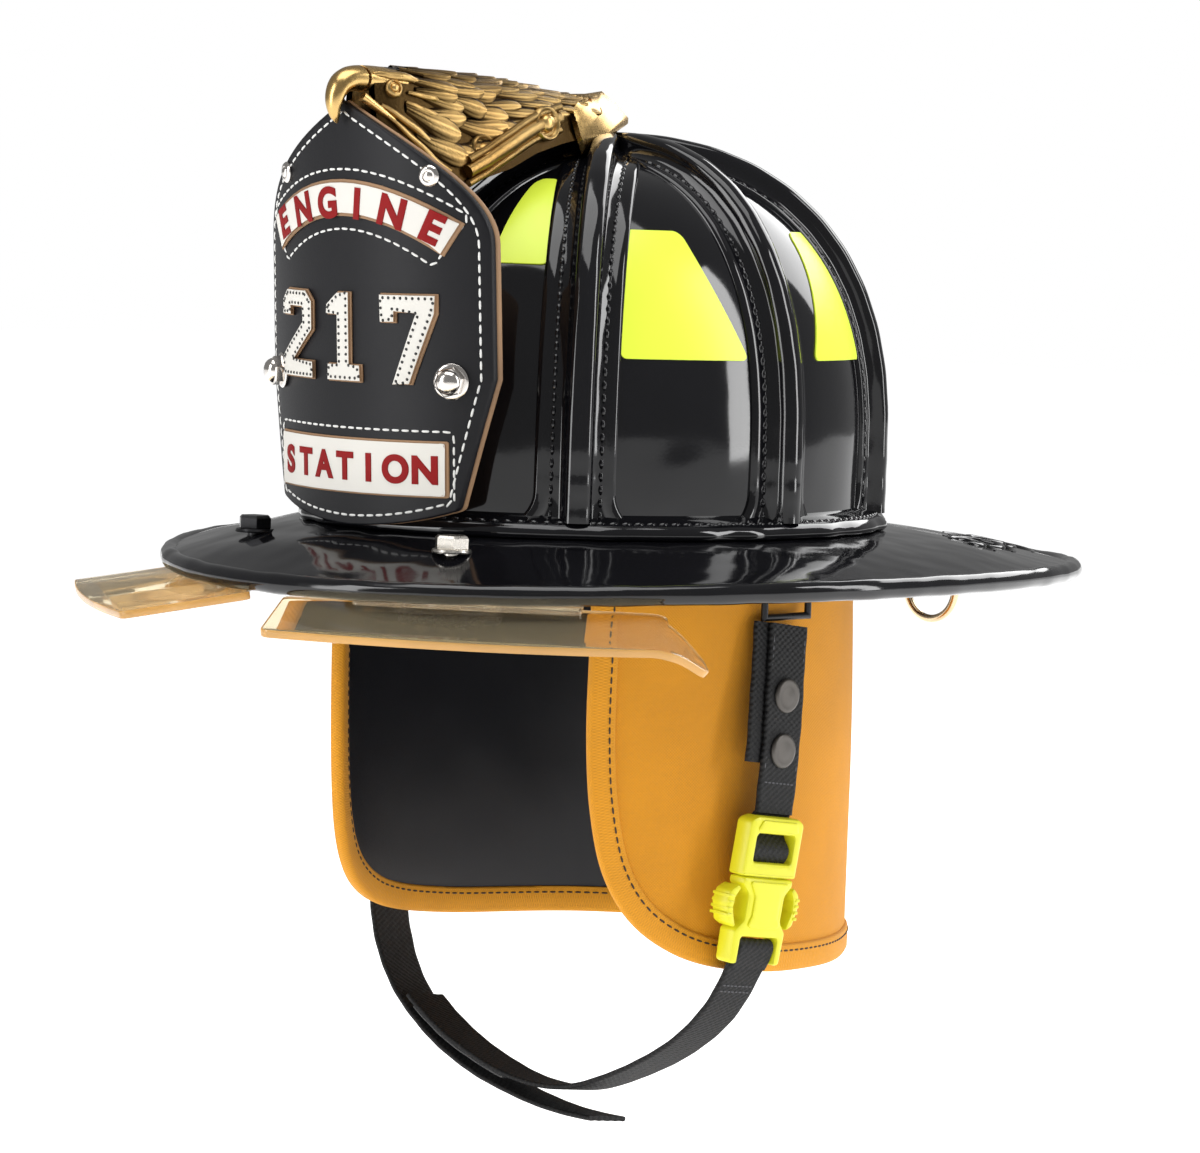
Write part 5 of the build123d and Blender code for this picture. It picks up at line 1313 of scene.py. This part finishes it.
def joined(name, cuts, body, nodes):
    """Several cut layers of the buckle as one moulding: (outlines, depth, bevel, lift)."""
    parts = []
    for outlines, depth, bevel, lift in cuts:
        verts, faces, marks = plate(outlines, depth, bevel, 2.5)
        parts.append(([in_buckle(v, lift, 0.004) for v in verts], faces))
    return merged(name, parts, BUCKLE, body, sharp=35, nodes=nodes)


joined("buckle_frame", [
    ([rounded([(-14.7, -22, 1), (14.7, -22, 1), (14.7, -1.5, 5), (11, 0, 4), (-11, 0, 4), (-14.7, -1.5, 5)]),
      rounded([(-10.5, -16.8, 1.5), (10.5, -16.8, 1.5), (10.5, -6.2, 2), (-10.5, -6.2, 2)])], 7.6, 1.2, 0.0),
    ([rounded([(-11.5, -5.2, 1), (11.5, -5.2, 1), (9.5, -1.2, 2), (-9.5, -1.2, 2)])], 1.6, 0.6, 3.6),
    ([rounded([(-6.3, -41.5, 1), (6.3, -41.5, 1), (6.3, -21, 0.5), (-6.3, -21, 0.5)])], 2.8, 0.5, 0.0)],
    "shell", ["buckle_upper"])
LOWER = [(-13.5, -22.4, 1), (13.5, -22.4, 1), (13.5, -25, 2), (10, -28.4, 3), (10, -38, 3), (14, -42, 2),
         (13.5, -54, 2), (10.2, -54, 1), (10.2, -44, 1.5), (-10.2, -44, 1.5), (-10.2, -54, 1),
         (-13.5, -54, 2), (-14, -42, 2), (-10, -38, 3), (-10, -28.4, 3), (-13.5, -25, 2)]
PANEL = [(-10.8, -23.6, 1), (10.8, -23.6, 1), (7.2, -29, 2), (7.2, -36, 2), (9, -40.5, 2),
         (-9, -40.5, 2), (-7.2, -36, 2), (-7.2, -29, 2)]
joined("buckle_socket", [
    ([rounded(LOWER)], 7.8, 1.1, 0.0),
    ([rounded(PANEL)], 1.5, 0.6, 3.9),
    ([rounded([(-13, -50.2, 0.8), (13, -50.2, 0.8), (13, -46.8, 0.8), (-13, -46.8, 0.8)])], 3.0, 0.7, -0.6)],
    "chin_strap", ["buckle_lower"])
for label, way in (("front", -1), ("rear", 1)):
    arm = [(13.6, -41.4, 1.2), (17.8, -39.4, 2), (20, -32.4, 3), (19, -27.6, 2.5), (15.6, -25.2, 1.2),
           (14, -26.4, 0.6), (16.2, -30, 1.5), (16.5, -34, 1.5)]
    ridges = [[(17.0, h - 0.6, 0.3), (19.6, h - 0.6, 0.3), (19.6, h + 0.6, 0.3), (17.0, h + 0.6, 0.3)]
              for h in (-36.5, -34.2, -31.9, -29.6)]
    cuts = [([[(way * x, y) for x, y in rounded(outline)]], *sizes)
            for outline, sizes in [(arm, (7.8, 1.0, 0.0))] + [(ridge, (8.6, 0.4, 0.0)) for ridge in ridges]]
    joined(f"buckle_latch_{label}", cuts, f"buckle_arm_{label}", [f"buckle_arm_{label}"])
# webbing looped through the frame's window and round the socket's bar
WINDOW = [(1.0, -1.2), (-3, -3.4), (-8, -1.8), (-12, 1.2), (-16, 0.2), (-19, -3.4)]
BAR = [(-56, -0.2), (-51, 1.6), (-47.6, 2.2), (-45.6, 0.6), (-46.4, -2.6)]
for name, route, body, width in (("window", WINDOW, "shell", 19.4), ("bar", BAR, "chin_strap", 19.0)):
    points = [in_buckle(Vector((0, y, z))) * MM for y, z in route]
    strap(f"{name}_webbing", bezier(points, 5), 1.6, body, [], width=width)

# ---- inside the helmet ---------------------------------------------------------------------------
PAD_TURNS = [radians(-62 + 124 * j / 50) for j in range(51)]
rings = []
for j, a in enumerate(PAD_TURNS):
    end = sin(pi * min(1, (min(j, 50 - j) + 0.6) / 6) / 2)
    ring = []
    for k in range(14):
        b = 2 * pi * k / 14
        deep = 2.4 + 2.4 * end * cos(b) * (1 + 0.05 * sin(8 * a + 3 * b))
        ring.append(Vector(((73 - 2.4 - deep + 1.2) * sin(a), -3 - (90 - 2.4 - deep + 1.2) * cos(a),
                            -7.5 + 15.0 * end ** 0.5 * sin(b))))
    rings.append(ring)
verts, faces = loft(rings)
pad = piece("brow_cushion", verts, faces, [PAD], sharp=80, nodes=["brow_pad"])
BAND_TOP = 109.0
parts = []
for k in range(3):
    a = radians(60 * k)
    out = Vector((CROWN_X * sin(a), -CROWN_Y * cos(a), 0)).normalized()
    across = Vector((0, 0, 1)).cross(out)
    reach = 1 / sqrt((out.x / (CROWN_X - 16)) ** 2 + (out.y / (CROWN_Y - 16)) ** 2) - 1.6
    outer, inner = [], []
    # an arc through both feet at SPRING and over the head at BAND_TOP
    centre = (BAND_TOP ** 2 - SPRING ** 2 - reach ** 2) / (2 * (BAND_TOP - SPRING))
    radius = BAND_TOP - centre
    for r in range(41):
        ang = atan2(reach, SPRING - centre) * (1 - 2 * r / 40)
        for c in range(7):
            w = -11 + 22 * c / 6
            base = out * (radius * sin(ang)) + across * w
            base += Vector((0, 0, centre + radius * cos(ang) - 1.3 * k))
            dent = 0.12 * sin(c * 2.1)
            outer.append(base + Vector((0, 0, dent)))
            inner.append(base * 0.985 + Vector((0, 0, dent - 0.3)))
    parts.append(shell(outer, inner, 41, 7))
    for way in (1, -1):
        skins = [[out * (way * away) + across * (-11 + 22 * c / 6) + Vector((0, 0, 8.3 + 22.5 * r / 4))
                  for r in range(5) for c in range(7)] for away in (reach, reach - 1.4)]
        parts.append(shell(*skins, 5, 7))
verts, faces = gather(parts)
uv = [(v.x * MM, (v.y + v.z) * MM) for v in verts]
piece("crown_webbing", verts, faces, [WEBBING], sharp=50, uv=uv, nodes=["crown_straps"])

# finishes of the moulded and machined pieces that keep their own shape
KEPT = [(FOAM, ["impact_cap"]),
        (BLACK_PLASTIC, ["suspension_keys", "headband", "ratchet_housing", "ratchet_knob",
                         "headband_tail_left", "headband_tail_right"]),
        (BLACK_STEEL, ["strap_hangers"]),
        (STEEL, ["shield_screws", "eyeshield_brackets", "eyeshield_hinge_pins", "brim_nuts",
                 "rear_ring_clip"]),
        (CLEAR, ["lens_strip_left", "lens_strip_right"])]
for mat, nodes in KEPT:
    for node in nodes:
        obj = bpy.data.objects[node]
        obj.data.materials.clear()
        obj.data.materials.append(mat)
